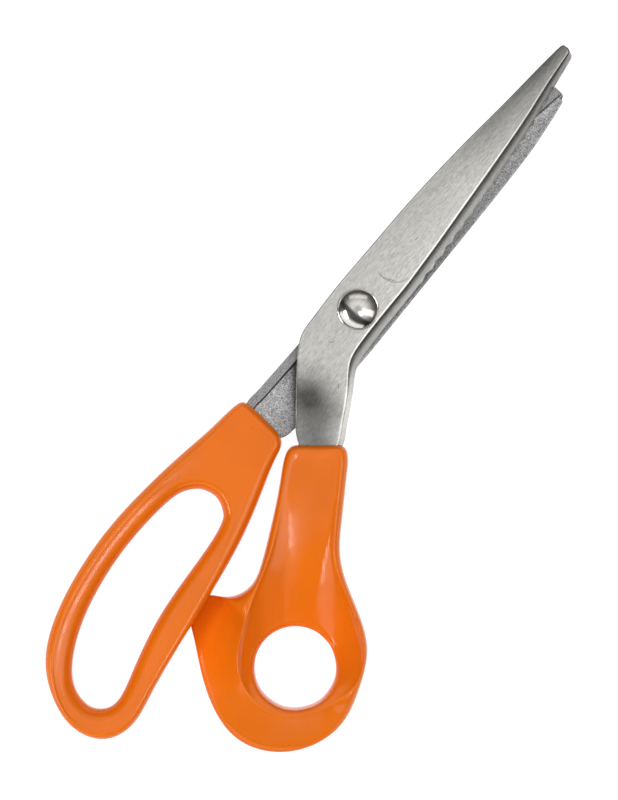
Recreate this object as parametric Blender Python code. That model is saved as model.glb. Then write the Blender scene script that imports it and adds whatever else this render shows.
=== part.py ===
"""Pinking shears, 23 cm class: two toothed blades, two moulded handles and a pivot.

The origin is on the pivot axis, on the surface that the shears lie on. +X runs along the blades
to the tip, +Z is up, and the shears are closed. Sizes are in millimetres until a mesh is made.
"""

import math

import bmesh
import bpy
import numpy as np

MILLIMETRE = 0.001
GAP = 0.3                     # clearance between neighbouring pieces

# Blades: heights are counted from the mating plane, where the two cutting lands meet
MATING_Z = 7.8
WEB_THICKNESS = 2.2
FLANGE_HEIGHT = 4.2           # outer face of the web to the mating plane
LAND_WIDTH = 2.4
FLANGE_SLOPE = math.radians(72)
SPINE_BEVEL = 0.3
TOOTH_PITCH = 4.245           # counted along the radius from the pivot
TOOTH_DEPTH = 1.9
TEETH = 13
TOOTH_START = 17.9            # radius at which the teeth begin
TANG_DROP = 1.6               # crank of the upper tang towards the mating plane

# Pivot
BOSS_RADIUS = 5.2
BOSS_TO_MATING = 0.55
BOSS_SINK = 1.0               # how far the boss's outer end lies inside the web
SHANK_RADIUS = 3.0
BORE_RADIUS = 3.3
HEAD_RADIUS = 5.65
HEAD_RIM = 0.5
DOME_HEIGHT = 1.8
NUT_ACROSS_FLATS = 9.6
NUT_FLOOR = 0.9
WASHER_THICKNESS = 0.4
WASHER_RADIUS = 5.3
WASHER_CONE = 0.2
BORE_ENDS = (-5.0, 25.0)      # cutters for the bores reach through everything

# Handles
FINGER_TOP = 12.8
FINGER_PARTING = 7.0
THUMB_THROAT = 5.4            # height of the thumb hole's narrowest edge
SHELF_TOP = 4.4
SHELF_EDGE = 2.6
FLANK_EDGE = 0.5              # least rise of the flank's rounded foot
FLANK_TILT = math.radians(40)
FOOT = 0.11                   # share of the flank's width that the foot takes
REBATE_TOP = SHELF_TOP + 0.6
THUMB_HOLE_CENTRE = (-87.1, -48.2)
THUMB_HOLE_RADIUS = 11.15
UNDER_ROLL = 2.0              # plan width of the rounding under the handles
THUMB_ROLL = 1.8              # plan width of the rounded edge of the thumb hole
SCOOP_POWER = 0.65
SCOOP_START = 40.0            # distance from the thumb hole at which its scoop begins
SCOOP_FULL = 4.0
NECK_TURN = math.radians(30.6)
SPREAD = (0.0, 0.07, 0.25, 0.5, 0.75, 1.0)
CORNER_STEPS = 4
HANDLE_STATIONS = 72
UNDER_RIM = 2.0               # how far the flat underside stays inside the outline
FINGER_THROAT = FINGER_PARTING - 0.4
WIDE_FLANK = (4.0, 10.0)      # widths over which the rounded flank turns into a slope
LOW_PARTING = (2.6, 3.8)      # parting heights over which the shelf turns into the foot
FLANK_SHARES = [0.02, FOOT, 0.5]
FLARED = [0.7, 1.0, 0.3]      # levels of the flank beside the shelf
STRAIGHT = [0.75, 1.0, 0.438]
PALM_DEPTH = 0.2              # extra share of the scoop's depth on the palm side
PALM_REACH = 8.0
REBATE = [(-82.5, -15.6), (-99.5, -18.0), (-99.5, -24.0), (-82.5, -24.0)]
REBATE_BASE = -2.0

ORANGE = (0.81, 0.18, 0.02, 1.0)
STEEL = (0.56, 0.55, 0.53, 1.0)
POLISHED = (0.72, 0.71, 0.69, 1.0)
DARK_STEEL = (0.38, 0.38, 0.38, 1.0)
BRONZE = (0.55, 0.38, 0.16, 1.0)

TOOTH_END = TOOTH_START + TEETH * TOOTH_PITCH

# Upper blade: (spine x, spine y, cutting edge x, cutting edge y, flange width), tang end to tip
UPPER_STATIONS = [
    (-55.5, -21.6, -52.6, -27.4, 2.0),
    (-50.0, -18.2, -46.3, -25.4, 2.0),
    (-43.0, -13.9, -38.9, -22.6, 2.0),
    (-39.6, -11.2, -34.0, -20.8, 2.0),
    (-37.2, -8.2, -31.0, -20.0, 2.0),
    (-33.5, -5.1, -27.8, -18.3, 2.0),
    (-30.0, -2.3, -24.6, -16.55, 2.0),
    (-25.0, 1.5, -20.5, -14.3, 2.1),
    (-21.7, 4.0, -17.2, -12.3, 2.2),
    (-18.0, 6.4, -14.6, -10.7, 2.5),
    (-15.0, 7.75, -12.0, -9.6, 2.9),
    (-10.0, 8.2, -8.0, -8.95, 3.1),
    (-2.0, 8.45, -1.0, -8.75, 3.15),
    (8.0, 8.35, 7.0, -8.75, 3.15),
    (14.5, 8.15, 12.8, -8.8, 3.15),
]
# The cutting edges and spines of the toothed stretch, as curves over x
UPPER_EDGE = [(14.0, -8.8), (25, -8.4), (40, -7.65), (55, -6.7), (70, -5.3), (82, -3.5), (92, -2.1)]
UPPER_SPINE = [(14.0, 8.15), (30, 7.7), (50, 6.3), (70, 4.2), (85, 2.8), (92, 2.0)]
UPPER_FLANGE = [(14.0, 3.15), (60, 3.3), (80, 2.7), (92, 1.9)]
LOWER_EDGE = [(14.0, 7.1), (25, 5.9), (40, 3.4), (55, 0.8), (70, -1.75), (82, -3.75), (92, -5.3)]
LOWER_SPINE = [(14.0, -9.95), (40, -10.0), (55, -9.9), (65, -9.6), (72, -8.95), (80, -7.95)]

# Lower blade: the same columns, tang end to the pivot
LOWER_STATIONS = [
    (-57.5, -3.0, -57.5, 4.2, 2.4),
    (-50.0, -3.8, -50.0, 5.6, 2.4),
    (-42.0, -4.6, -42.0, 7.0, 2.4),
    (-39.9, -6.2, -38.6, 7.75, 2.4),
    (-36.2, -7.0, -35.8, 7.6, 2.4),
    (-30.0, -8.0, -29.5, 7.25, 2.4),
    (-20.0, -9.0, -20.0, 6.85, 2.4),
    (-12.0, -9.75, -12.5, 6.8, 2.6),
    (-4.0, -9.95, -4.0, 7.0, 3.0),
    (6.0, -9.95, 5.0, 7.2, 3.1),
    (14.5, -9.95, 12.8, 7.2, 3.1),
]
LOWER_FLANGE = [(14.0, 3.1), (60, 3.2), (82, 2.3)]

# Finger handle ribs: outline x, y, hole x, y, width of the outer shoulder, fall towards the hole,
# width of the roll into the hole
FINGER_RIBS = [
    (-39.5, -0.5, -64.4, -1.4, 1.7, 0.3, 3.1),
    (-39.0, 6.4, -64.5, -0.2, 1.6, 0.3, 3.1),
    (-39.5, 8.7, -64.7, 0.8, 1.5, 0.3, 3.1),
    (-41.9, 9.8, -65.1, 2.0, 1.7, 0.3, 3.1),
    (-50.0, 10.9, -66.5, 4.0, 2.2, 0.3, 3.1),
    (-60.0, 12.6, -69.5, 6.2, 2.4, 0.35, 3.3),
    (-75.0, 14.7, -77.0, 7.9, 2.2, 0.4, 4.0),
    (-90.0, 15.6, -89.5, 8.6, 2.2, 0.4, 4.0),
    (-105.0, 14.5, -103.0, 7.5, 2.1, 0.4, 4.1),
    (-120.0, 10.9, -116.0, 4.3, 2.2, 0.4, 4.6),
    (-130.0, 5.1, -124.5, 0.1, 2.0, 0.4, 4.7),
    (-136.3, -3.9, -129.5, -4.9, 1.5, 0.4, 4.8),
    (-138.1, -12.0, -130.9, -10.0, 1.3, 0.4, 5.0),
    (-135.2, -19.8, -129.3, -14.0, 1.6, 0.35, 4.8),
    (-128.0, -23.3, -125.0, -16.0, 1.7, 0.3, 4.2),
    (-117.0, -22.0, -115.5, -14.0, 1.3, 0.3, 4.0),
    (-100.0, -19.4, -100.0, -10.5, 1.1, 0.3, 4.0),
    (-85.0, -17.4, -86.0, -9.3, 1.6, 0.3, 4.0),
    (-70.0, -14.9, -74.0, -8.5, 2.4, 0.3, 3.7),
    (-57.0, -11.4, -68.3, -7.3, 2.6, 0.3, 3.1),
    (-46.0, -8.1, -66.2, -5.7, 2.0, 0.3, 3.1),
    (-41.9, -6.9, -65.1, -4.0, 1.5, 0.3, 3.1),
    (-40.4, -5.2, -64.6, -2.7, 1.5, 0.3, 3.1),
]
# Thumb handle ribs: outline x, y, ridge x, y, angle on the thumb hole in degrees,
# ridge height, outline height, fall towards the hole
THUMB_RIBS = [
    (-35.6, -14.9, -37.1, -16.0, 32, 13.6, 7.2, 7.2),
    (-38.9, -10.7, -40.1, -12.2, 38, 13.6, 7.2, 7.2),
    (-40.7, -9.3, -41.6, -11.2, 42, 13.6, 7.2, 7.2),
    (-43.2, -9.4, -43.6, -11.3, 46, 13.6, 7.2, 7.2),
    (-50.0, -12.9, -50.8, -14.9, 53, 13.7, 7.2, 7.3),
    (-60.0, -18.1, -60.7, -20.3, 61, 14.1, 7.0, 7.4),
    (-69.0, -22.3, -69.3, -24.0, 71, 14.6, 6.6, 7.7),
    (-77.0, -24.6, -77.0, -26.4, 82, 14.9, 6.0, 8.0),
    (-82.5, -22.8, -82.5, -28.4, 92, 15.0, 4.4, 8.2),
    (-85.2, -19.7, -86.5, -29.9, 99, 15.0, 3.0, 8.1),
    (-87.1, -17.2, -89.3, -31.1, 105, 15.0, 2.6, 7.9),
    (-91.3, -17.1, -92.0, -32.5, 111, 15.0, 2.6, 7.7),
    (-95.3, -17.9, -94.2, -33.9, 117, 15.0, 2.6, 7.4),
    (-97.9, -20.7, -96.0, -35.3, 123, 15.0, 2.7, 6.9),
    (-102.5, -26.4, -98.2, -37.8, 134, 15.0, 3.0, 4.9),
    (-107.8, -33.7, -100.1, -41.5, 149, 15.0, 3.4, 2.4),
    (-111.9, -42.8, -100.9, -46.0, 169, 15.0, 3.8, 0.5),
    (-112.3, -50.6, -100.0, -51.3, 191, 15.0, 3.8, 0.3),
    (-108.4, -59.2, -96.8, -56.4, 215, 15.0, 3.8, 0.3),
    (-100.0, -65.9, -91.5, -60.5, 241, 15.0, 4.0, 0.3),
    (-90.0, -67.9, -85.5, -63.0, 263, 15.0, 4.6, 0.5),
    (-80.0, -65.3, -78.9, -63.5, 289, 15.0, 5.6, 2.4),
    (-71.0, -60.6, -71.7, -59.8, 312, 14.9, 6.4, 6.0),
    (-65.0, -53.1, -66.1, -52.5, 332, 14.8, 6.8, 8.0),
    (-60.0, -44.3, -61.2, -43.7, 348, 14.5, 7.0, 8.2),
    (-55.0, -38.1, -56.3, -36.9, 3, 14.1, 7.2, 7.9),
    (-47.0, -32.4, -48.1, -30.8, 13, 13.8, 7.2, 7.6),
    (-37.0, -26.0, -38.1, -24.4, 20, 13.6, 7.2, 7.4),
    (-33.3, -23.4, -34.7, -22.1, 23, 13.6, 7.2, 7.3),
    (-31.7, -21.0, -33.4, -20.6, 26, 13.6, 7.2, 7.3),
    (-32.3, -19.1, -33.8, -19.4, 29, 13.6, 7.2, 7.2),
]


def clear_scene():
    """Remove whatever the opened file holds."""
    for item in list(bpy.data.objects):
        bpy.data.objects.remove(item, do_unlink=True)


def material(name, colour, roughness, metallic):
    """A Principled material of one colour."""
    made = bpy.data.materials.new(name)
    made.use_nodes = True
    shader = made.node_tree.nodes["Principled BSDF"]
    shader.inputs["Base Color"].default_value = colour
    shader.inputs["Roughness"].default_value = roughness
    shader.inputs["Metallic"].default_value = metallic
    return made


def mesh_object(name, vertices, faces, finish, parent=None, smooth_angle=30):
    """A mesh object from points in millimetres, with its faces turned outwards."""
    mesh = bpy.data.meshes.new(name)
    points = [tuple(value * MILLIMETRE for value in vertex) for vertex in vertices]
    mesh.from_pydata(points, [], faces)
    work = bmesh.new()
    work.from_mesh(mesh)
    bmesh.ops.recalc_face_normals(work, faces=work.faces)
    if work.calc_volume(signed=True) < 0:
        bmesh.ops.reverse_faces(work, faces=work.faces)
    work.to_mesh(mesh)
    work.free()
    mesh.shade_smooth()
    mesh.set_sharp_from_angle(angle=math.radians(smooth_angle))
    item = bpy.data.objects.new(name, mesh)
    bpy.context.scene.collection.objects.link(item)
    if finish:
        mesh.materials.append(finish)
    item.parent = parent
    return item


def loft(sections, closed):
    """Faces between successive closed sections; the ends are joined or capped."""
    count = len(sections)
    size = len(sections[0])
    vertices = [point for section in sections for point in section]
    faces = []
    for i in range(count if closed else count - 1):
        near = i * size
        far = (i + 1) % count * size
        for j in range(size):
            k = (j + 1) % size
            faces.append((near + j, near + k, far + k, far + j))
    if not closed:
        faces.append(tuple(range(size)))
        faces.append(tuple(range((count - 1) * size, count * size)))
    return vertices, faces


def turned(rings, segments, blind=True):
    """Faces of rings of (radius, z) or (radius function, z), capped or joined end to end."""
    sections = []
    for radius, z in rings:
        section = []
        for k in range(segments):
            angle = math.tau * k / segments
            reach = radius(angle) if callable(radius) else radius
            section.append((reach * math.cos(angle), reach * math.sin(angle), z))
        sections.append(section)
    return loft(sections, closed=not blind)


def hermite(here, there, slope_here, slope_there, width, t):
    """Point of a cubic piece at t from 0 to 1."""
    return (
        (2 * t**3 - 3 * t**2 + 1) * here
        + (t**3 - 2 * t**2 + t) * width * slope_here
        + (3 * t**2 - 2 * t**3) * there
        + (t**3 - t**2) * width * slope_there
    )


def periodic_spline(columns):
    """Smooth closed curve through rows of values, sampled about evenly along its first two columns."""
    rows = np.array(columns, dtype=float)
    count = len(rows)
    chords = np.linalg.norm(np.roll(rows[:, :2], -1, axis=0) - rows[:, :2], axis=1)
    steps = chords**0.7
    system = np.zeros((count, count))
    right = np.zeros_like(rows)
    for i in range(count):
        before = steps[i - 1]
        after = steps[i]
        system[i, i - 1] += after
        system[i, i] += 2 * (before + after)
        system[i, (i + 1) % count] += before
        rise = (rows[(i + 1) % count] - rows[i]) / after
        fall = (rows[i] - rows[i - 1]) / before
        right[i] = 3 * (before * rise + after * fall)
    slopes = np.linalg.solve(system, right)
    made = []
    for i in range(count):
        following = (i + 1) % count
        parts = max(1, round(chords[i] / chords.sum() * HANDLE_STATIONS))
        for k in range(parts):
            ends = (rows[i], rows[following], slopes[i], slopes[following])
            made.append(hermite(*ends, steps[i], k / parts))
    return made


def curve_value(points, x):
    """Smooth value at x of a curve through (x, y) points."""
    xs = [point[0] for point in points]
    ys = [point[1] for point in points]
    slopes = np.gradient(ys, xs)
    i = min(max(int(np.searchsorted(xs, x)) - 1, 0), len(xs) - 2)
    width = xs[i + 1] - xs[i]
    return float(hermite(ys[i], ys[i + 1], slopes[i], slopes[i + 1], width, (x - xs[i]) / width))


def tooth_height(radius):
    """Height of the zigzag mating surface over the mating plane at a radius from the pivot."""
    if not TOOTH_START < radius < TOOTH_END:
        return 0.0
    phase = (radius - TOOTH_START) / TOOTH_PITCH % 1.0
    wave = abs((phase + 0.25) % 1.0 - 0.5) * 4 - 1
    return -wave * TOOTH_DEPTH / 2


def smooth_step(value, low, high):
    """0 below low, 1 above high, and smooth between."""
    t = min(max((value - low) / (high - low), 0.0), 1.0)
    return t * t * (3 - 2 * t)


def point_at_radius(curve, radius):
    """The point of a curve over x that lies at a radius from the pivot."""
    low, high = 0.0, radius
    for _ in range(40):
        middle = (low + high) / 2
        if math.hypot(middle, curve_value(curve, middle)) < radius:
            low = middle
        else:
            high = middle
    return np.array((low, curve_value(curve, low)))


def turn(point, angle):
    """A plan point turned about the pivot."""
    c, s = math.cos(angle), math.sin(angle)
    return np.array((point[0] * c - point[1] * s, point[0] * s + point[1] * c))


def blade_section(spine, edge, flange, side, arc, drop, grow=0.0):
    """Closed section of a blade, from its spine to its cutting edge and back.

    side is 1 for the upper blade and -1 for the lower. With arc the land follows the circle
    about the pivot, so that teeth pass each other. drop moves a cranked tang to the mating plane.
    """
    across = (spine - edge) / np.linalg.norm(spine - edge)
    reach = np.linalg.norm(edge)

    def height(plan, outwards):
        """Height of the land, above or below the mating surface."""
        tooth = tooth_height(np.linalg.norm(plan)) if arc else 0.0
        return outwards + side * tooth

    def inboard(distance):
        """The point that lies a distance inside the cutting edge along the land."""
        if arc:
            return turn(edge, side * distance / reach)
        return edge + across * distance

    top = FLANGE_HEIGHT - drop
    under = top - WEB_THICKNESS
    land = GAP / 2 - drop
    lean = 1 / math.tan(FLANGE_SLOPE)
    edge_height = height(edge, land)
    cutting = edge + across * (edge_height - land) * lean
    bend_start = edge + across * flange
    bend_radius = (flange - (FLANGE_HEIGHT - GAP / 2) * lean) / (
        math.sin(FLANGE_SLOPE) - (1 - math.cos(FLANGE_SLOPE)) * lean
    )
    inner = inboard(LAND_WIDTH)
    corner = inboard(LAND_WIDTH + 0.5)
    section = [
        (spine - across * SPINE_BEVEL, top),
        (bend_start, top),
    ]
    for share in (1 / 3, 2 / 3, 1.0):
        angle = FLANGE_SLOPE * share
        plan = bend_start - across * bend_radius * math.sin(angle)
        section.append((plan, top - bend_radius * (1 - math.cos(angle))))
    section += [
        (cutting, edge_height),
        (inner, height(inner, land)),
        (corner, under),
        (spine - across * SPINE_BEVEL, under),
        (spine, under + SPINE_BEVEL),
        (spine, top - SPINE_BEVEL),
    ]
    if grow:
        bottom = land - grow
        low = edge - across * grow
        high = spine + across * grow
        section = [(high, top + grow), (low, top + grow), (low, bottom), (high, bottom)]
    return [(plan[0], plan[1], MATING_Z + side * level) for plan, level in section]


def tooth_radii():
    """Radii at which the blades get a section: every crest, root and flank middle."""
    return [TOOTH_START + TOOTH_PITCH / 4 * k for k in range(4 * TEETH + 1)]


def upper_sections():
    """Sections of the upper blade from the tang's end to the tip."""
    sections = []
    for x1, y1, x2, y2, flange in UPPER_STATIONS:
        drop = TANG_DROP * (1 - smooth_step(x2, -32.0, -17.5))
        sections.append(blade_section(np.array((x1, y1)), np.array((x2, y2)), flange, 1, False, drop))
    for radius in tooth_radii() + [76.0, 80.0, 85.0, 89.0]:
        edge = point_at_radius(UPPER_EDGE, radius)
        spine = point_at_radius(UPPER_SPINE, radius)
        flange = curve_value(UPPER_FLANGE, edge[0])
        sections.append(blade_section(spine, edge, flange, 1, True, 0.0))
    for x1, y1, x2, y2, flange in [(90.7, 2.1, 90.3, -2.25, 1.95), (91.5, 1.4, 91.3, -1.1, 1.1)]:
        sections.append(blade_section(np.array((x1, y1)), np.array((x2, y2)), flange, 1, True, 0.0))
    return sections


def lower_sections():
    """Sections of the lower blade from the tang's end to the tip."""
    sections = []
    for x1, y1, x2, y2, flange in LOWER_STATIONS:
        sections.append(blade_section(np.array((x1, y1)), np.array((x2, y2)), flange, -1, False, 0.0))
    for radius in tooth_radii() + [76.0, 79.0]:
        edge = point_at_radius(LOWER_EDGE, radius)
        spine = point_at_radius(LOWER_SPINE, radius)
        flange = curve_value(LOWER_FLANGE, edge[0])
        sections.append(blade_section(spine, edge, flange, -1, True, 0.0))
    for x1, y1, x2, y2, flange in [(79.7, -7.9, 80.4, -3.5, 2.3), (80.4, -6.9, 81.4, -3.75, 1.8)]:
        sections.append(blade_section(np.array((x1, y1)), np.array((x2, y2)), flange, -1, True, 0.0))
    return sections


def boolean(item, cutter, operation):
    """Add or cut another solid, which stays out of the finished shears."""
    cutter.hide_render = True
    cutter.display_type = "WIRE"
    step = item.modifiers.new(operation.lower() + "_" + cutter.name, "BOOLEAN")
    step.operation = operation
    step.solver = "EXACT"
    step.object = cutter


def cylinder(name, radius, low, high, segments=48):
    """A plain upright cylinder about the pivot axis."""
    return mesh_object(name, *turned([(radius, low), (radius, high)], segments), None)


def blade(name, sections, side, finish, parent):
    """A blade with its pivot boss and bore."""
    item = mesh_object(name, *loft(sections, closed=False), finish, parent)
    boss_faces = sorted((MATING_Z + side * BOSS_TO_MATING, MATING_Z + side * (FLANGE_HEIGHT - BOSS_SINK)))
    boolean(item, cylinder(name + "_boss", BOSS_RADIUS, *boss_faces), "UNION")
    boolean(item, cylinder(name + "_bore", BORE_RADIUS, *BORE_ENDS), "DIFFERENCE")
    return item


def rounded_corner(start, end, low, high, power=0.8):
    """Points of a rounded corner that leaves one height upright and reaches the other flat."""
    made = []
    for k in range(1, CORNER_STEPS):
        angle = k / CORNER_STEPS * math.pi / 2
        plan = end + (start - end) * math.cos(angle) ** power
        made.append((plan, low + (high - low) * math.sin(angle) ** power))
    return made


def inset_point(outline, index, distance):
    """A point inside a closed counter-clockwise outline, square to its run at one station."""
    run = outline[(index + 1) % len(outline)] - outline[index - 1]
    normal = np.array((-run[1], run[0])) / np.linalg.norm(run)
    return outline[index] + normal * distance


def distance_to_curve(points, curve):
    """Distance of each plan point from an open curve."""
    start = np.array(curve[:-1])
    run = np.array(curve[1:]) - start
    offset = np.array(points)[:, None, :] - start[None]
    share = np.clip((offset * run).sum(-1) / (run * run).sum(-1), 0, 1)
    return np.linalg.norm(offset - share[..., None] * run, axis=-1).min(1)


def distance_to_ridge(points, ridge):
    """Distance from the thumb handle's ridge, blended smoothly between its two sides."""
    half = len(ridge) // 2
    left = distance_to_curve(points, ridge[:half + 1])
    right = distance_to_curve(points, ridge[half:] + ridge[:1])
    nearest = np.minimum(left, right)
    return nearest / (1 + (nearest / np.maximum(np.maximum(left, right), 1e-6)) ** 3) ** (1 / 3)


def ring_section(plan, parting, throat, skirt, top):
    """One closed section of a handle, from the outline over the ridge into the hole and back."""
    outer, hole, low_crest, low_roll = plan
    roll, roll_z = top[-1]
    points = [(outer, parting)]
    points += skirt
    points += top
    points += reversed(rounded_corner(hole, roll, throat, roll_z))
    points += [(hole, throat)]
    points += rounded_corner(hole, low_roll, throat, 0.0)
    points += [(low_roll, 0.0), (low_crest, 0.0)]
    points += reversed(rounded_corner(outer, low_crest, parting, 0.0))
    return [(plan[0], plan[1], z) for plan, z in points]


def finger_sections():
    """Closed sections round the finger loop."""
    rows = periodic_spline(FINGER_RIBS)
    outline = [row[:2] for row in rows]
    holes = [row[2:4] for row in rows]
    sections = []
    for i, row in enumerate(rows):
        outer, hole = row[:2], row[2:4]
        shoulder, dip, width = row[4:7]
        crest = inset_point(outline, i, shoulder)
        span = np.linalg.norm(crest - hole)
        outward = hole - inset_point(holes, i, 1.0)
        roll = hole + outward * min(width, span * 0.9)
        low_roll = hole + outward * min(UNDER_ROLL, span * 0.5)
        top = [(crest + (roll - crest) * share, FINGER_TOP - dip * share**2) for share in SPREAD]
        skirt = rounded_corner(outer, crest, FINGER_PARTING, FINGER_TOP)
        plan = (outer, hole, inset_point(outline, i, UNDER_RIM), low_roll)
        sections.append(ring_section(plan, FINGER_PARTING, FINGER_THROAT, skirt, top))
    return sections


def thumb_skirt(outer, crest, parting, top):
    """The flank between the ridge and the outline: round where narrow, a slope or a shelf where wide."""
    width = np.linalg.norm(crest - outer)
    slope = smooth_step(width, *WIDE_FLANK)
    shelf = 1 - smooth_step(parting, *LOW_PARTING)
    rounded = rounded_corner(outer, crest, parting, top)
    foot = max(parting + FLANK_EDGE, top - (1 - FOOT) * width * math.tan(FLANK_TILT))
    low = foot + (parting + SHELF_TOP - SHELF_EDGE - foot) * shelf
    sloped = []
    for share, steep, wide in zip(FLANK_SHARES, STRAIGHT, FLARED):
        level = steep + (wide - steep) * shelf
        z = parting + (low - parting) * level
        if share > FOOT:
            z = low + (top - low) * level
        sloped.append((outer + (crest - outer) * share, z))
    return [
        (a[0] * (1 - slope) + b[0] * slope, a[1] * (1 - slope) + b[1] * slope)
        for a, b in zip(rounded, sloped)
    ]


def scoop_depths(points, ridge, dip):
    """How far the thumb scoop lies under its ridge: a bowl round the hole, deeper on the palm side."""
    from_ridge = distance_to_ridge(points, ridge)
    offset = np.array(points) - THUMB_HOLE_CENTRE
    from_hole = np.linalg.norm(offset, axis=1) - THUMB_HOLE_RADIUS
    palm_side = offset @ np.array((math.sin(NECK_TURN), -math.cos(NECK_TURN)))
    fade = np.array([1 - smooth_step(distance, SCOOP_FULL, SCOOP_START) for distance in from_hole])
    bowl = (from_ridge / (from_ridge + from_hole)) ** SCOOP_POWER
    return dip * bowl * (1 + PALM_DEPTH * np.tanh(palm_side / PALM_REACH)) * fade


def thumb_sections():
    """Closed sections round the thumb ring."""
    angles = np.unwrap([math.radians(rib[4]) for rib in THUMB_RIBS])
    ribs = []
    for rib, angle in zip(THUMB_RIBS, angles):
        hole = (
            THUMB_HOLE_CENTRE[0] + THUMB_HOLE_RADIUS * math.cos(angle),
            THUMB_HOLE_CENTRE[1] + THUMB_HOLE_RADIUS * math.sin(angle),
        )
        ribs.append(rib[:4] + hole + rib[5:])
    rows = periodic_spline(ribs)
    outline = [row[:2] for row in rows]
    ridge = [row[2:4] for row in rows]
    sections = []
    for i, row in enumerate(rows):
        outer, crest, hole = row[:2], row[2:4], row[4:6]
        crest_z, parting, dip = row[6:9]
        inward = crest - hole
        span = np.linalg.norm(inward)
        inward = inward / span
        roll = hole + inward * min(THUMB_ROLL, span * 0.36)
        low_roll = hole + inward * min(THUMB_ROLL, span * 0.8)
        surface = [crest + (roll - crest) * share for share in SPREAD]
        top = [(point, crest_z - fall) for point, fall in zip(surface, scoop_depths(surface, ridge, dip))]
        skirt = thumb_skirt(outer, crest, parting, crest_z)
        plan = (outer, hole, inset_point(outline, i, UNDER_RIM), low_roll)
        sections.append(ring_section(plan, parting, THUMB_THROAT, skirt, top))
    return sections


def tang_pocket(name, stations, side, drop):
    """Cutter for the pocket that holds a tang, with clearance all round."""
    sections = []
    for x1, y1, x2, y2, flange in stations:
        section = blade_section(
            np.array((x1, y1)), np.array((x2, y2)), flange, side, False, drop, grow=GAP
        )
        sections.append(section)
    first = np.array(sections[0])
    run = first.mean(axis=0) - np.array(sections[1]).mean(axis=0)
    end = first + run / np.linalg.norm(run) * GAP
    sections.insert(0, [tuple(point) for point in end])
    return mesh_object(name, *loft(sections, closed=False), None)


def stop_rebate():
    """Cutter for the rebate under the finger handle, where the thumb handle's shelf stops."""
    low = [(x, y, REBATE_BASE) for x, y in REBATE]
    high = [(x, y, REBATE_TOP) for x, y in REBATE]
    return mesh_object("stop_rebate", *loft([low, high], closed=False), None)


def pivot_screw(finish, parent):
    """Domed head and shank in one turned piece."""
    seat = MATING_Z + FLANGE_HEIGHT + GAP
    sphere = (HEAD_RADIUS**2 + DOME_HEIGHT**2) / (2 * DOME_HEIGHT)
    rings = [(SHANK_RADIUS - 0.4, NUT_FLOOR + GAP), (SHANK_RADIUS, NUT_FLOOR + GAP + 0.4)]
    rings += [(SHANK_RADIUS, seat), (HEAD_RADIUS - 0.2, seat), (HEAD_RADIUS, seat + 0.2)]
    rings.append((HEAD_RADIUS, seat + HEAD_RIM))
    half = math.asin(HEAD_RADIUS / sphere)
    for k in range(1, 6):
        angle = half * (1 - k / 6)
        z = seat + HEAD_RIM + DOME_HEIGHT - sphere * (1 - math.cos(angle))
        rings.append((sphere * math.sin(angle), z))
    return mesh_object("pivot_screw", *turned(rings, 48), finish, parent)


def ring_washer(name, inner, outer, low, cone, finish, parent, thickness):
    """A flat or coned ring."""
    rings = [(inner, low + cone), (outer, low), (outer, low + thickness), (inner, low + thickness + cone)]
    return mesh_object(name, *turned(rings, 48, blind=False), finish, parent)


def lock_nut(finish, parent):
    """Blind hexagonal nut with a flat closed back."""
    top = MATING_Z - FLANGE_HEIGHT - WASHER_THICKNESS - WASHER_CONE - 2 * GAP

    def hexagon(angle):
        """Distance from the centre to the hexagon's side."""
        return NUT_ACROSS_FLATS / 2 / math.cos((angle + math.pi / 6) % (math.pi / 3) - math.pi / 6)

    def chamfered(angle):
        """The hexagon with its corners turned down."""
        return min(hexagon(angle), NUT_ACROSS_FLATS / 2 * 1.04)

    rings = [(NUT_ACROSS_FLATS / 2 - 0.2, 0.0), (chamfered, 0.35), (hexagon, 0.6)]
    rings += [(hexagon, top), (BORE_RADIUS, top), (BORE_RADIUS, NUT_FLOOR)]
    return mesh_object("lock_nut", *turned(rings, 48), finish, parent)


def build():
    """Model every piece of the closed shears."""
    clear_scene()
    orange = material("handle_orange", ORANGE, 0.25, 0.0)
    orange_thumb = material("handle_orange_thumb", ORANGE, 0.25, 0.0)
    steel_upper = material("blade_steel_upper", STEEL, 0.32, 1.0)
    steel_lower = material("blade_steel_lower", STEEL, 0.45, 1.0)
    polished = material("polished_steel", POLISHED, 0.12, 1.0)
    bronze = material("bearing_bronze", BRONZE, 0.4, 1.0)
    spring = material("spring_steel", DARK_STEEL, 0.35, 1.0)
    nut = material("nut_steel", POLISHED, 0.3, 1.0)

    swing = bpy.data.objects.new("blade_pivot", None)
    bpy.context.scene.collection.objects.link(swing)

    blade("lower_blade", lower_sections(), -1, steel_lower, None)
    blade("upper_blade", upper_sections(), 1, steel_upper, swing)

    finger = mesh_object("finger_handle", *loft(finger_sections(), closed=True), orange, None, 40)
    boolean(finger, tang_pocket("lower_pocket", LOWER_STATIONS[:5], -1, 0.0), "DIFFERENCE")
    boolean(finger, stop_rebate(), "DIFFERENCE")

    thumb = mesh_object("thumb_handle", *loft(thumb_sections(), closed=True), orange_thumb, swing, 40)
    boolean(thumb, tang_pocket("upper_pocket", UPPER_STATIONS[:6], 1, TANG_DROP), "DIFFERENCE")

    pivot_screw(polished, None)
    gap_low = MATING_Z - BOSS_TO_MATING + GAP
    gap_high = MATING_Z + BOSS_TO_MATING - GAP
    ring_washer(
        "bearing_washer", BORE_RADIUS + 0.1, BOSS_RADIUS - 0.7, gap_low, 0.0, bronze, None,
        gap_high - gap_low,
    )
    ring_washer(
        "spring_washer", BORE_RADIUS + 0.1, WASHER_RADIUS,
        MATING_Z - FLANGE_HEIGHT - GAP - WASHER_THICKNESS - WASHER_CONE, WASHER_CONE, spring, None,
        WASHER_THICKNESS,
    )
    lock_nut(nut, None)


build()
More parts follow.
